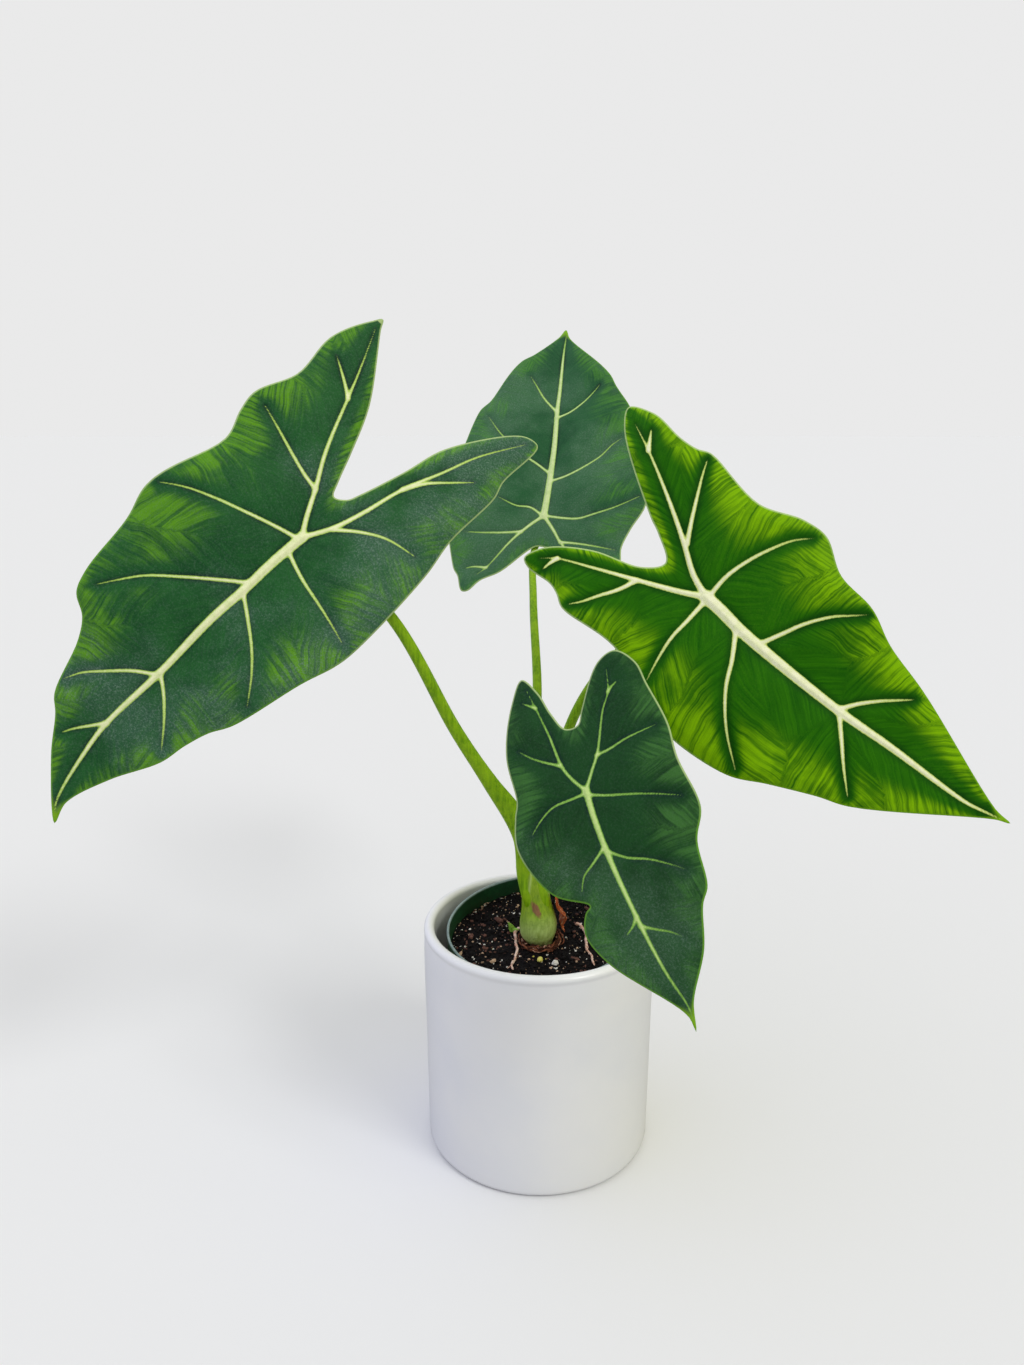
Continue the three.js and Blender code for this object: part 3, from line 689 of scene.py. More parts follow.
def makeBlade(side, leaf):
    bm = bladeGrid(leaf)
    spots = flatPlaces(bm)
    fields = veinFields(leaf, spots)
    for name, parts in (("veinField", ("toVein", "toMargin", "outward")),
                        ("streakField", ("along", "away", "seam")), ("tipField", ("toTip", "far", "side"))):
        setField(bm, name, zip(*(fields[part] for part in parts)))
    upper, lower = bladeHeights(leaf, spots, fields["toVein"], fields["toMargin"])
    border = [e for e in bm.edges if e.is_boundary]
    top = list(bm.verts)
    made = bmesh.ops.duplicate(bm, geom=[*bm.verts, *bm.edges, *bm.faces])
    for v, high, low in zip(top, upper, lower):
        v.co.z = high
        made["vert_map"][v].co.z = low
    underFaces = [g for g in made["geom"] if isinstance(g, bmesh.types.BMFace)]
    for face in underFaces:
        face.material_index = 1
    bmesh.ops.reverse_faces(bm, faces=underFaces)
    underBorder = [made["edge_map"][e] for e in border]
    for face in bmesh.ops.bridge_loops(bm, edges=border + underBorder)["faces"]:
        face.material_index = 2
    bmesh.ops.recalc_face_normals(bm, faces=bm.faces)
    look = leaf["look"]
    upperLook, underLook = velvetFinish("velvet_" + side, look), undersideFinish("underside_" + side, look)
    finishes = [upperLook, underLook, edgeFinish(look)]
    return finishPiece("leafBlade_" + side, bm, finishes, ["blade_" + side], bladePlace(leaf))


for side, leaf in leaves.items():
    blade = makeBlade(side, leaf)
    print("blade", side, "done, faces", len(blade.data.polygons))


stalks = dict(
    sides=26, spacing=1.6, startDepth=14, startSpread=0.6, straight=12, flapAt=0.22, flapReach=0.09,
    channelDepth=0.10, channelFrom=0.3, wobble=0.02, endSize=0.45, endReach=12, paleFrom=0.9, paleGrowth=6,
    ending=[(0, -0.6, -5), (0, 0.4, -2.6), (0.4, 4, -1.4), (0.9, 12, -1.1)],
    left=dict(neck=(-1, -1), flap=1.2, radii=(3.6, 3.7, 2.9, 2.2), points=[
        (-11, -8, 180), (-27, -14, 213), (-44, -22, 245), (-72, -38, 304), (-97, -48, 333),
        (-107, -53.5, 343)]),
    right=dict(neck=(1, 1), flap=0, radii=(3.6, 3, 2.5, 2.1), points=[
        (5, 1, 200), (18, 0, 246), (36, -10, 278), (57, -24, 301), (70, -36, 312)]),
    front=dict(neck=(1, -1), flap=0, radii=(3.6, 2.9, 2.3, 1.9), points=[
        (3, -16, 184), (8, -34, 210), (12.5, -60, 230), (15.5, -84, 238)]),
    back=dict(neck=(-1, 1), flap=0, radii=(3.6, 2.9, 2.3, 2.1), points=[
        (-6, 4, 185), (-3, 14, 222), (-1, 32, 251), (-2.7, 70, 295), (-0.6, 120, 320.2)],
        ending=[(0, -9, -3.2), (0, -3, -2.8), (0.4, 5, -1.8), (0.8, 14, -1.2)]),
)

tissueReach = (0.7, 1.0, 0.25)  # how far red, green and blue light spreads under living skin


def stalkFinish():
    finish = Finish("stalkSkin", {"Specular IOR Level": 0.2, "Subsurface Weight": 0.12,
                                  "Subsurface Scale": 0.002, "Subsurface Radius": tissueReach})
    where = finish.place()
    stretched = finish.stretch(where, 0.12)
    fibre = finish.blots(stretched, 0.9, 4.0, 0.6, 0.3, 0.72)
    colour = finish.mix(fibre, paint(100, 146, 0), paint(142, 188, 12))
    colour = finish.tint(colour, finish.blots(where, 0.12, 3.0, 0.6, 0.35, 0.65), 0.5, paint(160, 200, 26))
    mottle = finish.blots(stretched, 0.45, 5.0, 0.75, 0.56, 0.68)
    colour = finish.tint(colour, mottle, 0.35, paint(84, 110, 22))
    colour = finish.tint(colour, finish.field("stalkField")[0], 0.7, paint(196, 214, 110))
    fine = finish.grain(where, 2.2, 3.0)
    return finish.use(colour, finish.span(fine, 0.2, 0.8, 0.36, 0.52), finish.bump(fibre, 0.08, 0.5))


stalkSkin = stalkFinish()


def stalkLine(side, leaf):  # from inside the neck, through the stalk's own points, to under the blade
    own, start = stalks[side], stalks["startSpread"]
    x, y = (n * stem["spread"] for n in own["neck"])
    shift, neck = stem["neckShift"], stem["neckHeight"]
    low = [(x * start + shift, y * start, neck - stalks["startDepth"]), (x + shift, y, neck),
           (x + shift, y, neck + stalks["straight"])]
    high = own.get("ending", stalks["ending"])
    place = bladePlace(leaf)
    points = [*[stemPlace @ Vector(p) for p in low], *own["points"], *[place @ Vector(p) for p in high]]
    return evenLine(smoothLine([tuple(p) for p in points], 12), stalks["spacing"])


def stalkRadii(side, count):
    radii, endSize = stalks[side]["radii"], stalks["endSize"]
    t = np.linspace(0, 1, count)
    sizes = np.interp(t, np.linspace(0, 1, len(radii)), radii)
    last = np.clip((1 - t) * count * stalks["spacing"] / stalks["endReach"], 0, 1)
    return sizes * (endSize + (1 - endSize) * last)


def makeStalk(side, leaf):
    s = stalks
    line = stalkLine(side, leaf)
    count = len(line)

    def section(k, angle):  # a shallow channel on the upper side, and the flap of a sheath low down
        up = max(0.0, math.cos(angle - math.pi / 2))
        channel = s["channelDepth"] * up ** 6 * min(1, k / (s["channelFrom"] * count))
        reach = math.exp(-((k / count - s["flapAt"]) / s["flapReach"]) ** 2)
        flap = s[side]["flap"] * reach * max(0.0, -math.sin(angle)) ** 3
        return 1 - channel + flap + s["wobble"] * math.sin(3 * angle + 0.11 * k)

    bm = bmesh.new()
    tube(bm, line, stalkRadii(side, count), s["sides"], section)
    bmesh.ops.recalc_face_normals(bm, faces=bm.faces)
    _, along = nearestOnLine(np.array([tuple(v.co) for v in bm.verts]), line)
    setField(bm, "stalkField", [(max(0, (t - s["paleFrom"]) * s["paleGrowth"]), 0, 0) for t in along])
    return finishPiece("leafStalk_" + side, bm, [stalkSkin], ["petiole_" + side])


for side, leaf in leaves.items():
    makeStalk(side, leaf)
print("stalks done")


# the groove under the rim is given as steps in from the wall and down from the middle of the rim's round
pot = dict(
    radius=63.5, footRadius=62.4, height=128.3, wall=5.8, floor=6, footRound=3.5, innerRound=5, grooveFrom=6,
    groove=[(0.2, 4.2), (0.6, 2.4), (0.6, 1.5), (0.18, 0.5)], swell=0.22, swellScale=0.025, flatFoot=1,
    steps=192, rings=dict(foot=6, footRound=8, wall=22, lip=16, inside=12, innerRound=8, floor=5),
)


def arc(across, up, radius, fromAngle, toAngle, steps):
    angles = np.radians(np.linspace(fromAngle, toAngle, steps + 1))
    return [(across + radius * math.cos(a), up + radius * math.sin(a)) for a in angles]


def rows(fromPoint, toPoint, count):  # so many points between two points, without the two
    return [tuple(p) for p in np.linspace(fromPoint, toPoint, count + 2)[1:-1]]


def spun(profile, steps):  # a profile of radius and height, turned about Z
    bm = bmesh.new()
    verts = [bm.verts.new((r, 0, z)) for r, z in profile]
    edges = [bm.edges.new(pair) for pair in zip(verts, verts[1:])]
    bmesh.ops.spin(bm, geom=verts + edges, cent=(0, 0, 0), axis=(0, 0, 1), angle=2 * math.pi, steps=steps,
                   use_merge=True)
    bmesh.ops.remove_doubles(bm, verts=bm.verts, dist=1e-4)
    bmesh.ops.recalc_face_normals(bm, faces=bm.faces)
    return bm


def glazeFinish():
    finish = Finish("whiteGlaze", {"Specular IOR Level": 0.5, "Coat Weight": 0.35, "Coat Roughness": 0.12})
    where = finish.place()
    cloud = finish.blots(where, 0.02, 3.0, 0.5, 0.3, 0.7)
    colour = finish.mix(cloud, paint(238, 239, 241), paint(244, 244, 243))
    height = finish.add("ShaderNodeSeparateXYZ", {"Vector": where}).outputs[2]
    # painted highlight: the glaze is painted whiter over the top of the lip, inside and out
    rim = finish.span(height, pot["height"] - 2.6, pot["height"] - 0.8)
    colour = finish.mix(rim, colour, paint(255, 255, 255))
    colour = finish.tint(colour, finish.blots(where, 0.8, 3.0, 0.6, 0.66, 0.8), 0.18, paint(222, 222, 220))
    ripple = finish.grain(where, 0.22, 3.0, 0.5)
    normal = finish.bump(finish.grain(where, 1.4, 2.0), 0.02, 0.3, finish.bump(ripple, 0.25, 0.25))
    return finish.use(colour, finish.span(ripple, 0.3, 0.7, 0.3, 0.42), normal)


def potProfile():  # under the foot, up the outside, over the rim and down the inside
    p, rings = pot, pot["rings"]
    lip, inner = p["wall"] / 2, p["radius"] - p["wall"]
    lipMiddle, footIn, floorOut = p["height"] - lip, p["footRadius"] - p["footRound"], inner - p["innerRound"]
    innerFoot = p["floor"] + p["innerRound"]
    return [
        (0, 0), *rows((0, 0), (footIn, 0), rings["foot"]),
        *arc(footIn, p["footRound"], p["footRound"], -90, 0, rings["footRound"]),
        *rows((p["footRadius"], p["footRound"]), (p["radius"], lipMiddle - p["grooveFrom"]), rings["wall"]),
        *[(p["radius"] - step, lipMiddle - drop) for step, drop in p["groove"]],
        *arc(p["radius"] - lip, lipMiddle, lip, 0, 180, rings["lip"]),
        *rows((inner, lipMiddle), (inner, innerFoot), rings["inside"]),
        *arc(floorOut, innerFoot, p["innerRound"], 0, -90, rings["innerRound"]),
        *rows((floorOut, p["floor"]), (0, p["floor"]), rings["floor"]), (0, p["floor"]),
    ]


def makePot():
    bm = spun(potProfile(), pot["steps"])
    for v in bm.verts:  # the wall is a little uneven, and the underside is flat
        if v.co.z > pot["flatFoot"]:
            swell = noise.noise(Vector(v.co) * pot["swellScale"]) * pot["swell"]
            v.co.x *= 1 + swell / pot["radius"]
            v.co.y *= 1 + swell / pot["radius"]
    return finishPiece("whitePot", bm, [glazeFinish()], ["white_pot"])


makePot()
print("white pot done")


def growerHeight():  # as tall as its lean needs for its lowest edge to stand on the white pot's floor
    g = grower
    up = turn(g["leanBack"], g["leanLeft"]) @ Vector((0, 0, 1))
    edgeDrop = g["baseRadius"] * math.sqrt(1 - up.z ** 2)
    return (g["rimCentre"][2] - pot["floor"] - g["standGap"] - edgeDrop) / up.z


def growerInner(depth):  # inside radius so far below the rim
    g = grower
    if depth <= g["collarDepth"]:
        return g["rimRadius"] - g["wall"]
    shoulder = g["rimRadius"] - g["collarStep"]
    taper = (depth - g["collarDepth"]) / (growerHeight() - g["collarDepth"])
    return shoulder + (g["baseRadius"] - shoulder) * taper - g["wall"]


def growerFinish():
    finish = Finish("growerPlastic", {"Specular IOR Level": 0.45})
    where = finish.place()
    depth = finish.field("growerField")[0]
    dirt = finish.blots(where, 0.25, 4.0, 0.65, 0.45, 0.7)
    colour = finish.mix(dirt, paint(20, 64, 36), paint(28, 82, 46))
    dust = finish.times(finish.span(depth, 3.0, 9.0), finish.blots(where, 0.9, 4.0, 0.55, 0.45, 0.62))
    colour = finish.tint(colour, dust, 0.6, paint(46, 40, 30))
    # the pale top of the rim, over its top 1.3 mm: partly scuffed plastic, partly a painted highlight
    scuffAndHighlight = finish.blots(where, 0.35, 4.0, 0.6, 0.3, 0.7)
    pale = finish.mix(scuffAndHighlight, paint(112, 136, 134), paint(150, 168, 166))
    colour = finish.mix(finish.span(depth, 1.3, 0.35), colour, pale)
    fine = finish.grain(where, 1.8, 3.0)
    return finish.use(colour, finish.span(fine, 0.2, 0.8, 0.35, 0.55), finish.bump(fine, 0.05, 0.4))


def growerProfile(height):  # under the base, up the outside, over the lip and down the inside
    g, rings = grower, grower["rings"]
    collar, lip, corner = g["collarDepth"], g["lipRound"], g["footCorner"]
    outer, inner, shoulder = g["rimRadius"], growerInner(0), g["rimRadius"] - g["collarStep"]
    innerCollar, floor = collar + g["collarStep"], g["wall"] - height
    base, foot = (g["baseRadius"] - corner, -height), (g["baseRadius"], corner - height)
    innerShoulder = (growerInner(innerCollar), -innerCollar)
    floorOut = (growerInner(height - g["wall"]), floor)
    return [
        (0, -height), *rows((0, -height), base, rings["base"]), base,
        foot, *rows(foot, (shoulder, -innerCollar), rings["side"]), (shoulder, -innerCollar),
        (outer, -collar), *rows((outer, -collar), (outer, -lip), rings["collar"]),
        *arc(outer - lip, -lip, lip, 0, 90, rings["lip"]),
        *rows((outer - lip, 0), (inner + lip, 0), rings["lipTop"]),
        *arc(inner + lip, -lip, lip, 90, 180, rings["lip"]),
        *rows((inner, -lip), (inner, -collar), rings["inCollar"]), (inner, -collar),
        innerShoulder, *rows(innerShoulder, floorOut, rings["inSide"]), floorOut,
        *rows(floorOut, (0, floor), rings["floor"]), (0, floor),
    ]


def drainHoles(height):  # round bars to be cut out of the base
    g = grower
    bm = bmesh.new()
    for k in range(g["holeCount"]):
        angle = 2 * math.pi * k / g["holeCount"]
        spot = (g["holeRing"] * math.cos(angle), g["holeRing"] * math.sin(angle), -height)
        bmesh.ops.create_cone(bm, cap_ends=True, segments=g["holeSides"], radius1=g["holeRadius"],
                              radius2=g["holeRadius"], depth=g["wall"] * 4, matrix=move(spot))
    return bm


def makeGrower():
    height = growerHeight()
    body = meshObject("growerBody", spun(growerProfile(height), grower["steps"]))
    cutter = meshObject("growerHoles", drainHoles(height))
    cut = body.modifiers.new("holes", "BOOLEAN")
    cut.operation = "DIFFERENCE"
    cut.object = cutter
    cut.solver = "EXACT"
    bpy.context.view_layer.update()
    ready = body.evaluated_get(bpy.context.evaluated_depsgraph_get())
    bm = bmesh.new()
    bm.from_mesh(ready.to_mesh())
    for spare in (body, cutter):
        bpy.data.objects.remove(spare)
    setField(bm, "growerField", [(-v.co.z, 0, 0) for v in bm.verts])
    return finishPiece("growerPot", bm, [growerFinish()], ["nursery_pot"], growerPlace)


makeGrower()
print("grower's pot done")


# each kind of crumb has its count, its smallest and its largest size
soilLook = dict(
    cell=0.9, gap=0.3, seed=11, lumpScale=0.10, lumpHeight=1.3, gritScale=0.55, gritHeight=0.55, lowest=-2.2,
    highest=1.6, blockDepth=60, footClear=11, wallShare=0.25, wallBand=(0.4, 2.5), crumbSink=0.35,
    chipSink=0.4, corners=(0.75, 1.2), tilt=(-0.5, 0.5), shape=((0.6, 1.3), (0.5, 1.0), (0.35, 0.8)),
    crumbs=dict(dark=(1800, 0.5, 1.7), brown=(360, 0.4, 1.3), tan=(380, 0.3, 1.0), white=(300, 0.28, 0.95),
                yellow=(14, 0.3, 0.8)),
    chips=[(-21.5, 20.4), (-27.6, -20.2), (-37.8, -22.1), (-45.7, -12.1), (-34, 16.4), (-14.5, 32.6),
           (39.5, -28.7), (23.4, 5.9), (30.2, -14.1), (1.6, 23.5), (-32, -8), (-16, -33), (26, 27)],
    chipHalf=(2.4, 1.3, 1.0),
)


def soilHeight(x, y):
    s, spot = soilLook, Vector((x, y, 0))
    lumps = noise.fractal(spot * s["lumpScale"], 0.9, 2.1, 3) * s["lumpHeight"]
    grit = noise.fractal(spot * s["gritScale"] + Vector((9, 4, 2)), 0.8, 2.0, 3) * s["gritHeight"]
    return -grower["soilDepth"] + max(s["lowest"], min(s["highest"], lumps + grit))


def soilFinish():
    finish = Finish("pottingMix", {"Specular IOR Level": 0.12})
    where = finish.place()
    colour = finish.mix(finish.blots(where, 0.5, 5.0, 0.7, 0.3, 0.7), paint(3, 3, 4), paint(20, 16, 17))
    colour = finish.tint(colour, finish.blots(where, 1.3, 3.0, 0.7, 0.62, 0.75), 0.6, paint(92, 64, 52))
    fine = finish.grain(where, 1.2, 4.0, 0.75)
    return finish.use(colour, finish.span(fine, 0.2, 0.8, 0.6, 0.95), finish.bump(fine, 0.5, 0.8))


def crumbFinish(name, low, high, scale=0.9, roughness=0.8):
    finish = Finish(name, {"Specular IOR Level": 0.15})
    where = finish.place()
    colour = finish.mix(finish.blots(where, scale, 4.0, 0.7, 0.3, 0.7), low, high)
    fine = finish.grain(where, 2.5, 3.0, 0.7)
    rough = finish.span(fine, 0.2, 0.8, roughness - 0.15, roughness + 0.1)
    return finish.use(colour, rough, finish.bump(fine, 0.3, 0.6))


mixFinishes = dict(
    bed=soilFinish(),
    dark=crumbFinish("mixDark", paint(4, 4, 5), paint(26, 21, 21)),
    brown=crumbFinish("mixBrown", paint(62, 40, 36), paint(126, 88, 76)),
    tan=crumbFinish("mixTan", paint(150, 116, 92), paint(216, 186, 156)),
    white=crumbFinish("perlite", paint(214, 208, 196), paint(246, 243, 236), 0.6),
    yellow=crumbFinish("perliteYellowed", paint(206, 196, 90), paint(236, 228, 130), 0.6),
)
mixOrder = list(mixFinishes)


def crumbShape():  # the corners and faces of one round grain
    bm = bmesh.new()
    bmesh.ops.create_icosphere(bm, subdivisions=1, radius=1)
    corners = [v.co.copy() for v in bm.verts]
    faces = [[v.index for v in face.verts] for face in bm.faces]
    bm.free()
    return corners, faces


crumbCorners, crumbFaces = crumbShape()


def addCrumb(bm, place, size, kind, chooser):  # one rough grain or flake
    s = soilLook
    spin = Matrix.Rotation(chooser.uniform(0, 6.28), 4, "Z")
    tilt = Matrix.Rotation(chooser.uniform(*s["tilt"]), 4, "X")
    put = move(place) @ spin @ tilt @ Matrix.Diagonal((*size, 1))
    made = [bm.verts.new(put @ (corner * chooser.uniform(*s["corners"]))) for corner in crumbCorners]
    for face in crumbFaces:
        bm.faces.new([made[k] for k in face]).material_index = mixOrder.index(kind)


def soilBlock(radius):  # the lumpy top, and sides and bottom that follow the inside of the grower's pot
    g, gap = grower, soilLook["gap"]
    bm = gridDisc(np.array(arc(0, 0, radius, 0, 360, 199)[:-1]), soilLook["cell"])
    border = [e for e in bm.edges if e.is_boundary]
    for v in bm.verts:
        v.co.z = soilHeight(v.co.x, v.co.y)
    innerCollar = g["collarDepth"] + g["collarStep"] + 0.2
    for depth in (g["collarDepth"], innerCollar, soilLook["blockDepth"], growerHeight() - g["wall"] - gap):
        made = bmesh.ops.extrude_edge_only(bm, edges=border)["geom"]
        ring = {v for v in made if isinstance(v, bmesh.types.BMVert)}
        for v in ring:
            v.co.xy = v.co.xy.normalized() * (growerInner(depth) - gap)
            v.co.z = -depth
        border = [e for e in made if isinstance(e, bmesh.types.BMEdge) and ring.issuperset(e.verts)]
    bmesh.ops.contextual_create(bm, geom=border)
    bmesh.ops.recalc_face_normals(bm, faces=bm.faces)
    return bm


def scatterCrumbs(bm, radius, chooser):
    s = soilLook
    for kind, (count, small, large) in s["crumbs"].items():
        for _ in range(count):
            angle = chooser.uniform(0, 2 * math.pi)
            reach = radius * math.sqrt(chooser.uniform(0, 1))
            if kind not in ("dark", "brown") and chooser.random() < s["wallShare"]:
                reach = radius - chooser.uniform(*s["wallBand"])
            x, y = reach * math.cos(angle), reach * math.sin(angle)
            size = small + (large - small) * chooser.random() ** 2
            if (Vector((x, y)) - Vector(stem["foot"])).length < s["footClear"] or reach + size > radius:
                continue
            shape = [size * chooser.uniform(*span) for span in s["shape"]]
            addCrumb(bm, (x, y, soilHeight(x, y) + shape[2] * s["crumbSink"]), shape, kind, chooser)


def layChips(bm, chooser):
    for number, (x, y) in enumerate(soilLook["chips"]):
        shape = [half * chooser.uniform(*soilLook["corners"]) for half in soilLook["chipHalf"]]
        kind = ("brown", "tan")[number % 2]
        addCrumb(bm, (x, y, soilHeight(x, y) + shape[2] * soilLook["chipSink"]), shape, kind, chooser)


def makeSoil():
    chooser = random.Random(soilLook["seed"])
    radius = growerInner(grower["soilDepth"]) - soilLook["gap"]
    bm = soilBlock(radius)
    scatterCrumbs(bm, radius, chooser)
    layChips(bm, chooser)
    finishes = list(mixFinishes.values())
    return finishPiece("soilBed", bm, finishes, ["soil"], growerPlace, smooth=False)


soil = makeSoil()
print("soil done, faces", len(soil.data.polygons))


grainShape = dict(roughness=0.28, lumpScale=2.2, sink=0.7, turnPerMm=9)

grains = dict(
    perlite_white=dict(at=(5.4, -24.9), half=(1.9, 1.6, 1.4), finish="white", slot="perlite"),
    perlite_yellowed=dict(at=(-2.5, -22.4), half=(1.4, 1.8, 1.2), finish="yellow", slot="perlite"),
    bark_chip_back=dict(at=(-24.9, 19.7), half=(3.4, 1.6, 1.1), finish="brown", slot="bark"),
    bark_chip_left=dict(at=(-40.4, 4.8), half=(1.5, 2.4, 1.0), finish="brown", slot="bark"),
    bark_chip_right=dict(at=(16.2, -22.2), half=(2.6, 1.3, 0.9), finish="brown", slot="bark"),
)


def makeGrain(node, grain):
    bm = bmesh.new()
    bmesh.ops.create_icosphere(bm, subdivisions=4, radius=1)
    x, y = grain["at"]
    for v in bm.verts:
        rough = noise.fractal(v.co * grainShape["lumpScale"] + Vector((x, y, 0)), 0.9, 2.0, 4)
        v.co *= 1 + grainShape["roughness"] * rough
    lift = soilHeight(x, y) + grain["half"][2] * grainShape["sink"]
    spin = Matrix.Rotation(math.radians(x * grainShape["turnPerMm"]), 4, "Z")
    place = move((x, y, lift)) @ spin @ Matrix.Diagonal((*grain["half"], 1))
    bmesh.ops.transform(bm, matrix=place, verts=bm.verts)
    finishes = [mixFinishes[grain["finish"]]]
    return finishPiece("grain_" + node, bm, finishes, [node], growerPlace)


for node, grain in grains.items():
    makeGrain(node, grain)
print("single grains and chips done")


# the foot's heights are above its own base, which stands a little above the soil
bulb = dict(
    profile=[(6, -20), (6, -2), (7.9, 1.4), (9.6, 4.6), (10.4, 8.4), (10.1, 12), (9.1, 17), (8.1, 22),
             (7.6, 28.5), (7.3, 35), (6.4, 40), (4.4, 44), (0.5, 46)],
    spacing=0.8, steps=96, shiftFrom=6, shiftOver=20, scarAngle=-92, scarHeight=21, scarWidth=2.5,
    scarTall=5.8, scarSlant=2.5, scarReach=1.3, scarDent=0.03, seamAngle=-118, seamLow=27, seamSlant=2.6,
    seamOver=5, seamSoftness=2.5, seamStep=0.035, ridgeOff=3, ridgeWidth=5, ridgeShade=0.6, unevenness=0.02,
    lumpScale=0.16,
)


def bulbFinish():
    finish = Finish("bulbSkin", {"Specular IOR Level": 0.45, "Subsurface Weight": 0.1,
                                 "Subsurface Scale": 0.002, "Subsurface Radius": tissueReach})
    where = finish.place()
    scar, height, seam = finish.field("bulbField")
    fibre = finish.blots(finish.stretch(where, 0.25), 0.7, 4.0, 0.6, 0.3, 0.7)
    low = finish.mix(fibre, paint(154, 178, 86), paint(186, 208, 122))
    high = finish.mix(fibre, paint(116, 152, 6), paint(152, 184, 28))
    colour = finish.mix(finish.span(height, 7.0, 20.0), low, high)
    colour = finish.tint(colour, finish.blots(where, 0.35, 5.0, 0.75, 0.52, 0.68), 0.45, paint(82, 116, 30))
    earth = finish.times(finish.span(height, 4.5, 0.5), finish.blots(where, 0.5, 4.0, 0.55, 0.35, 0.6))
    colour = finish.tint(colour, earth, 0.8, paint(92, 62, 40))
    colour = finish.mix(seam, colour, paint(196, 218, 128))
    mark = finish.mix(fibre, paint(118, 84, 44), paint(152, 106, 66))
    marked = finish.plus(scar, finish.ragged(where, 0.6, 3.0, 0.55, 0.7))
    colour = finish.mix(finish.span(marked, 0.35, 0.75), colour, mark)
    roughness = finish.span(finish.grain(where, 1.6, 3.0), 0.2, 0.8, 0.34, 0.5)
    return finish.use(colour, roughness, finish.bump(fibre, 0.12, 0.5))


def degreesFrom(angle, middle):  # -180 to 180
    return (angle - middle + 180) % 360 - 180


def makeBulb():
    b = bulb
    profile = evenLine(smoothLine(b["profile"], 6), b["spacing"])
    bottom, top = b["profile"][0][1], b["profile"][-1][1]
    bm = spun([(0, bottom), *[tuple(p) for p in profile], (0, top)], b["steps"])
    marks = []
    for v in bm.verts:
        angle, height = math.degrees(math.atan2(v.co.y, v.co.x)), v.co.z
        off = degreesFrom(angle, b["scarAngle"] - (height - b["scarHeight"]) * b["scarSlant"])
        across = math.radians(off) * v.co.xy.length
        away = math.hypot(across / b["scarWidth"], (height - b["scarHeight"]) / b["scarTall"])
        scar = max(0.0, b["scarReach"] - away)
        seam = degreesFrom(angle, b["seamAngle"] + (height - b["seamLow"]) * b["seamSlant"])
        rise = max(0.0, min(1.0, (height - b["seamLow"]) / b["seamOver"]))
        step = rise * (1 - 1 / (1 + math.exp(-seam / b["seamSoftness"])))
        ridge = math.exp(-((seam + b["ridgeOff"]) / b["ridgeWidth"]) ** 2) * rise
        uneven = noise.noise(Vector(v.co) * b["lumpScale"])
        out = 1 + b["seamStep"] * step - b["scarDent"] * min(1, scar) + b["unevenness"] * uneven
        v.co.x *= out
        v.co.y *= out
        v.co.x += stem["neckShift"] * max(0, min(1, (height - b["shiftFrom"]) / b["shiftOver"]))
        marks.append((scar, height, ridge * b["ridgeShade"]))
    setField(bm, "bulbField", marks)
    return finishPiece("stemFoot", bm, [bulbFinish()], ["stem_base"], stemPlace)


makeBulb()


fibres = dict(
    count=260, seed=5, low=-0.4, radius=8.6, spread=3.6, length=(2, 6), rise=(0.3, 3.4), waver=(-0.2, 0.7),
    droop=0.6, thickness=(0.18, 0.55), taper=(0.6, 1, 0.8, 0.2), sides=5, shares=(5, 4, 1),
    colours=dict(fibreDark=((44, 24, 18), (92, 54, 38)), fibreRust=((96, 52, 34), (150, 92, 66)),
                 fibrePale=((170, 120, 96), (214, 172, 146))),
)


def makeFibres():
    f, chooser = fibres, random.Random(fibres["seed"])
    bm = bmesh.new()
    for _ in range(f["count"]):
        angle = chooser.uniform(0, 2 * math.pi)
        reach = f["radius"] + chooser.uniform(0, f["spread"])
        length, rise = chooser.uniform(*f["length"]), chooser.uniform(*f["rise"])
        sweep = chooser.choice((-1, 1)) * length / reach
        points = []
        for t in np.linspace(0, 1, len(f["taper"])):
            a = angle + sweep * t
            r = reach + math.sin(t * 3) * chooser.uniform(*f["waver"])
            points.append((r * math.cos(a), r * math.sin(a), f["low"] + rise * (1 - f["droop"] * t)))
        size = chooser.uniform(*f["thickness"])
        before = len(bm.faces)
        tube(bm, points, [size * share for share in f["taper"]], f["sides"])
        bm.faces.ensure_lookup_table()
        index = chooser.choices((0, 1, 2), f["shares"])[0]
        for face in bm.faces[before:]:
            face.material_index = index
    bmesh.ops.recalc_face_normals(bm, faces=bm.faces)
    finishes = [crumbFinish(name, paint(*low), paint(*high)) for name, (low, high) in f["colours"].items()]
    place = growerPlace @ move(stemFoot)
    return finishPiece("fibreCollar", bm, finishes, ["fibre_collar"], place)


makeFibres()


sheath = dict(
    low=4.4, high=24, halfWidth=26, radius=11.4, bulge=3.8, bulgeAt=0.34, bulgeReach=0.2, spread=2.6,
    thickness=0.35, turn=2, narrowest=0.35, sway=8, topWave=0.8, foldOut=1.5, ripple=0.35, curl=2.2,
    curlEnd=0.12, columns=28, rows=60,
)


def sheathFinish():
    finish = Finish("drySheath", {"Specular IOR Level": 0.4})
    where = finish.place()
    fibre = finish.blots(finish.stretch(where, 0.2), 1.2, 4.0, 0.65, 0.3, 0.7)
    colour = finish.mix(fibre, paint(116, 42, 10), paint(206, 98, 36))
    # pale blots: partly paler papery patches, partly painted highlights of the glossy sheath
    colour = finish.tint(colour, finish.blots(where, 0.3, 4.0, 0.55, 0.52, 0.66), 0.75, paint(238, 190, 146))
    return finish.use(colour, finish.span(fibre, 0.0, 1.0, 0.4, 0.65), finish.bump(fibre, 0.2, 0.7))


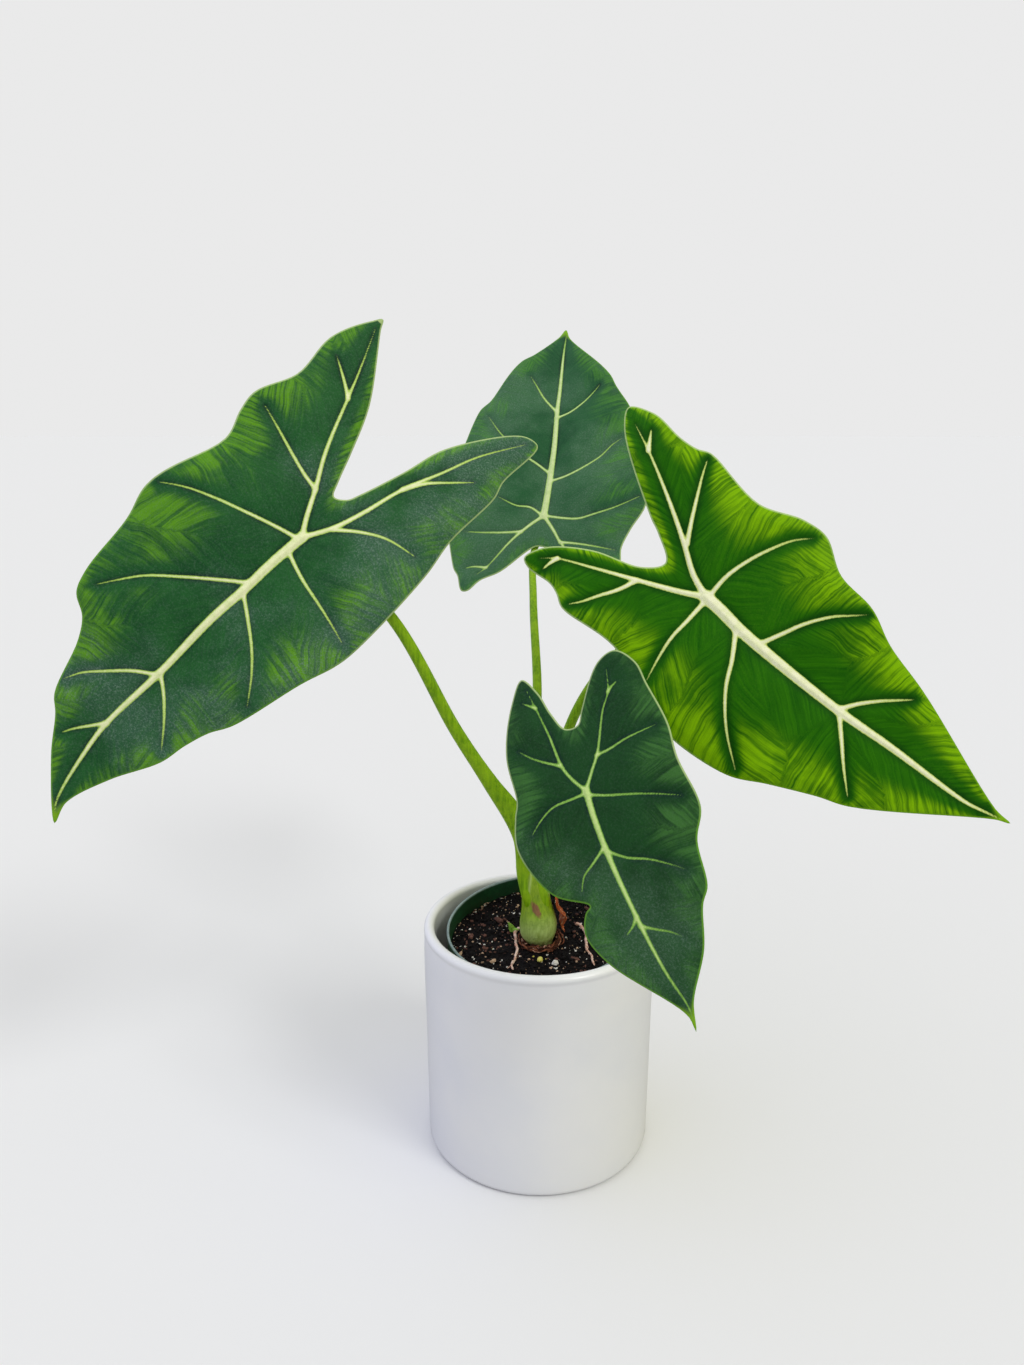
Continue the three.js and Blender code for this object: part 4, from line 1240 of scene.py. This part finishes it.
def makeSheath():  # a strip round part of the stem foot, widest a third of the way up, narrow at the top
    s = sheath
    bm = bmesh.new()
    bmesh.ops.create_grid(bm, x_segments=s["columns"], y_segments=s["rows"], size=1)
    for v in bm.verts:
        u, t = v.co.x, (v.co.y + 1) / 2  # across -1 to 1, up 0 to 1
        swell = math.sin(math.pi * min(1, 0.25 + 0.75 * t)) ** 0.8
        width = s["halfWidth"] * (s["narrowest"] + (1 - s["narrowest"]) * swell)
        angle = math.radians(s["turn"] + u * width + s["sway"] * math.sin(t * 5))
        out = s["radius"] + s["spread"] * t
        out += s["bulge"] * math.exp(-((t - s["bulgeAt"]) / s["bulgeReach"]) ** 2)
        out += s["foldOut"] * abs(u) ** 3 * (1 - t) + s["ripple"] * math.sin(u * 9 + t * 7)
        out += s["curl"] * max(0, s["curlEnd"] - t) / s["curlEnd"]
        z = s["low"] + (s["high"] - s["low"]) * t + s["topWave"] * math.sin(u * 4) * t
        v.co = (out * math.cos(angle), out * math.sin(angle), z)
    bmesh.ops.recalc_face_normals(bm, faces=bm.faces)
    bmesh.ops.solidify(bm, geom=[*bm.verts, *bm.edges, *bm.faces], thickness=s["thickness"])
    return finishPiece("drySheath", bm, [sheathFinish()], ["dry_sheath"], stemPlace)


makeSheath()


# the forks leave a root at a share of its length, and have a length of their own
roots = dict(
    spacing=0.8, sway=0.3, tremor=0.12, lowest=-10.7, lift=0.75, startSize=0.95, taper=0.45, knots=0.08,
    endSize=0.25, sides=10, forks=[(0.55, 4.5), (0.8, 3.2), (0.92, 3.6)], forkWay=(-2.6, -0.5), forkSize=0.45,
    forkEnd=0.12, forkDrop=0.05, forkSides=7,
    root_left=[(-12.6, 10.4), (-14.8, 9.4), (-15.6, 0.5), (-14.8, -10.3), (-16, -19.4), (-17.4, -22),
               (-17, -29)],
    root_right=[(18, 11.5), (20.3, 10.3), (23.5, -1), (22.8, -11.6), (25, -20.2), (25.8, -28.4)],
)


def rootFinish():
    finish = Finish("rootSkin", {"Specular IOR Level": 0.35})
    where = finish.place()
    cloud = finish.blots(where, 0.3, 4.0, 0.6, 0.35, 0.65)
    ring = finish.blots(where, 1.4, 3.0, 0.55, 0.4, 0.7)
    colour = finish.mix(cloud, paint(214, 160, 134), paint(250, 224, 206))
    colour = finish.tint(colour, ring, 0.3, paint(150, 84, 62))
    return finish.use(colour, finish.span(ring, 0, 1, 0.4, 0.6), finish.bump(ring, 0.2, 0.5))


rootSkin = rootFinish()


def makeRoot(node):
    r, chooser = roots, random.Random(len(node))
    bm = bmesh.new()
    line = []
    for k, (x, y) in enumerate(evenLine(smoothLine(r[node], 8), r["spacing"])):
        sway = r["sway"] * math.sin(k * 0.5) + r["tremor"] * math.sin(k * 2.1)
        line.append((x + sway, y, max(soilHeight(x, y), r["lowest"]) + r["lift"]))
    count = len(line)
    sizes = [r["startSize"] - r["taper"] * k / count + r["knots"] * math.sin(k * 1.7) for k in range(count)]
    sizes[0] = sizes[-1] = r["endSize"]
    tube(bm, line, sizes, r["sides"])
    for share, length in r["forks"]:
        start = Vector(line[int(share * (count - 1))])
        angle = chooser.uniform(*r["forkWay"])
        way = Vector((math.cos(angle), math.sin(angle), -r["forkDrop"]))
        fork = [start + way * t for t in np.linspace(0, length, 6)]
        tube(bm, fork, np.linspace(r["forkSize"], r["forkEnd"], len(fork)), r["forkSides"])
    bmesh.ops.recalc_face_normals(bm, faces=bm.faces)
    return finishPiece("airRoot_" + node[5:], bm, [rootSkin], [node], growerPlace)


for node in ("root_left", "root_right"):
    makeRoot(node)


sprout = dict(
    at=(-18, 9.8), spacing=0.35, sides=14,
    tall=dict(points=[(0, 0, -1), (0.4, 0, 1.2), (-0.3, -0.4, 3.2), (-1.6, -1.0, 5.8)],
              sizes=(1.9, 1.7, 1.0, 0.05)),
    low=dict(points=[(0.5, -0.4, -1), (1.8, -1, 0.8), (3.2, -1.6, 1.2), (4.6, -2.2, 1.0)],
             sizes=(1.4, 1.1, 0.7, 0.05)),
)


def sproutFinish():
    finish = Finish("sproutSkin", {"Specular IOR Level": 0.4})
    fibre = finish.blots(finish.place(), 0.8, 3.0, 0.55, 0.3, 0.7)
    colour = finish.mix(fibre, paint(112, 178, 40), paint(176, 220, 96))
    return finish.use(colour, finish.span(fibre, 0, 1, 0.35, 0.5), finish.bump(fibre, 0.1, 0.4))


def makeSprout():
    bm = bmesh.new()
    x, y, z = (*sprout["at"], -grower["soilDepth"])
    for spike in (sprout["tall"], sprout["low"]):
        places = [(x + a, y + b, z + c) for a, b, c in spike["points"]]
        line = evenLine(smoothLine(places, 6), sprout["spacing"])
        sizes = np.interp(np.linspace(0, 1, len(line)), [0, 0.33, 0.66, 1], spike["sizes"])
        tube(bm, line, sizes, sprout["sides"])
    bmesh.ops.recalc_face_normals(bm, faces=bm.faces)
    return finishPiece("sproutTip", bm, [sproutFinish()], ["sprout"], growerPlace)


makeSprout()
print("foot, fibres, sheath, roots and sprout done")


stageLook = dict(
    floorRadius=60.0,  # in metres
    floorWhite=0.86, floorBounce=0.56, dome=0.765, lowShare=0.68, leftTint=(1.24, 1.28, 1.62),
    rightTint=(0.76, 0.73, 0.40), sun=0.88, sunWay=(-0.73, 0.68, -0.92), sunSoftness=20,
)


def grey(level):
    return (level, level, level, 1)


def makeFloor():
    bm = bmesh.new()
    bmesh.ops.create_circle(bm, cap_ends=True, segments=96, radius=stageLook["floorRadius"])
    floor = meshObject("studioFloor", bm)
    finish = Finish("floorPaper", {"Specular IOR Level": 0.0, "Roughness": 0.9})
    direct = finish.add("ShaderNodeLightPath", {}).outputs["Is Camera Ray"]
    white = finish.mix(direct, grey(stageLook["floorBounce"]), grey(stageLook["floorWhite"]))
    finish.put(finish.shader, "Base Color", white)
    floor.data.materials.append(finish.material)


def makeSun():
    sun = bpy.data.lights.new("keySun", "SUN")
    sun.energy = stageLook["sun"]
    sun.angle = math.radians(stageLook["sunSoftness"])
    addObject("keySun", sun).rotation_euler = Vector(stageLook["sunWay"]).to_track_quat("-Z", "Y").to_euler()


def makeDome():  # soft light from all round, cooler on the left; the camera sees the lit floor's colour
    s = stageLook
    world = bpy.data.worlds.new("studio")
    bpy.context.scene.world = world
    world.use_nodes = True
    world.node_tree.nodes.clear()
    nodes = Nodes(world.node_tree)
    way = nodes.add("ShaderNodeTexCoord", {}).outputs["Generated"]
    across, _, up = nodes.add("ShaderNodeSeparateXYZ", {0: way}).outputs[:3]
    side = nodes.add("ShaderNodeMapRange", {"Value": across, "From Min": -1, "From Max": 1}).outputs["Result"]
    tint = nodes.mix(side, (*s["leftTint"], 1), (*s["rightTint"], 1))
    low, high = s["dome"] * s["lowShare"], s["dome"] * (1.5 - 0.5 * s["lowShare"])
    strength = nodes.add("ShaderNodeMapRange", {"Value": up, "To Min": low, "To Max": high}).outputs["Result"]
    dome = nodes.add("ShaderNodeBackground", {"Color": tint, "Strength": strength}).outputs[0]
    down = -Vector(s["sunWay"]).normalized().z
    far = grey(s["floorWhite"] * (s["dome"] + s["sun"] * down / math.pi))
    seen = nodes.add("ShaderNodeBackground", {"Color": far}).outputs[0]
    direct = nodes.add("ShaderNodeLightPath", {}).outputs["Is Camera Ray"]
    choice = nodes.add("ShaderNodeMixShader", {0: direct, 1: dome, 2: seen}).outputs[0]
    nodes.add("ShaderNodeOutputWorld", {0: choice})


makeFloor()
makeSun()
makeDome()

view = dict(place=(-14.9, -519.0, 391.7), downward=13.9, focal=1025, imageHeight=1365, sensor=36)


def makeCamera():
    camera = bpy.data.cameras.new("photoCamera")
    camera.sensor_fit = "VERTICAL"
    camera.sensor_height = view["sensor"]
    camera.lens = view["focal"] / view["imageHeight"] * view["sensor"]
    camera.clip_start, camera.clip_end = 0.01, 60
    holder = addObject("photoCamera", camera)
    holder.location = Vector(view["place"]) * mm
    holder.rotation_euler = (math.radians(90 - view["downward"]), 0, 0)
    bpy.context.scene.camera = holder


makeCamera()
scene = bpy.context.scene
scene.view_settings.view_transform = "Standard"
scene.view_settings.look = "None"
print("stage and camera done")
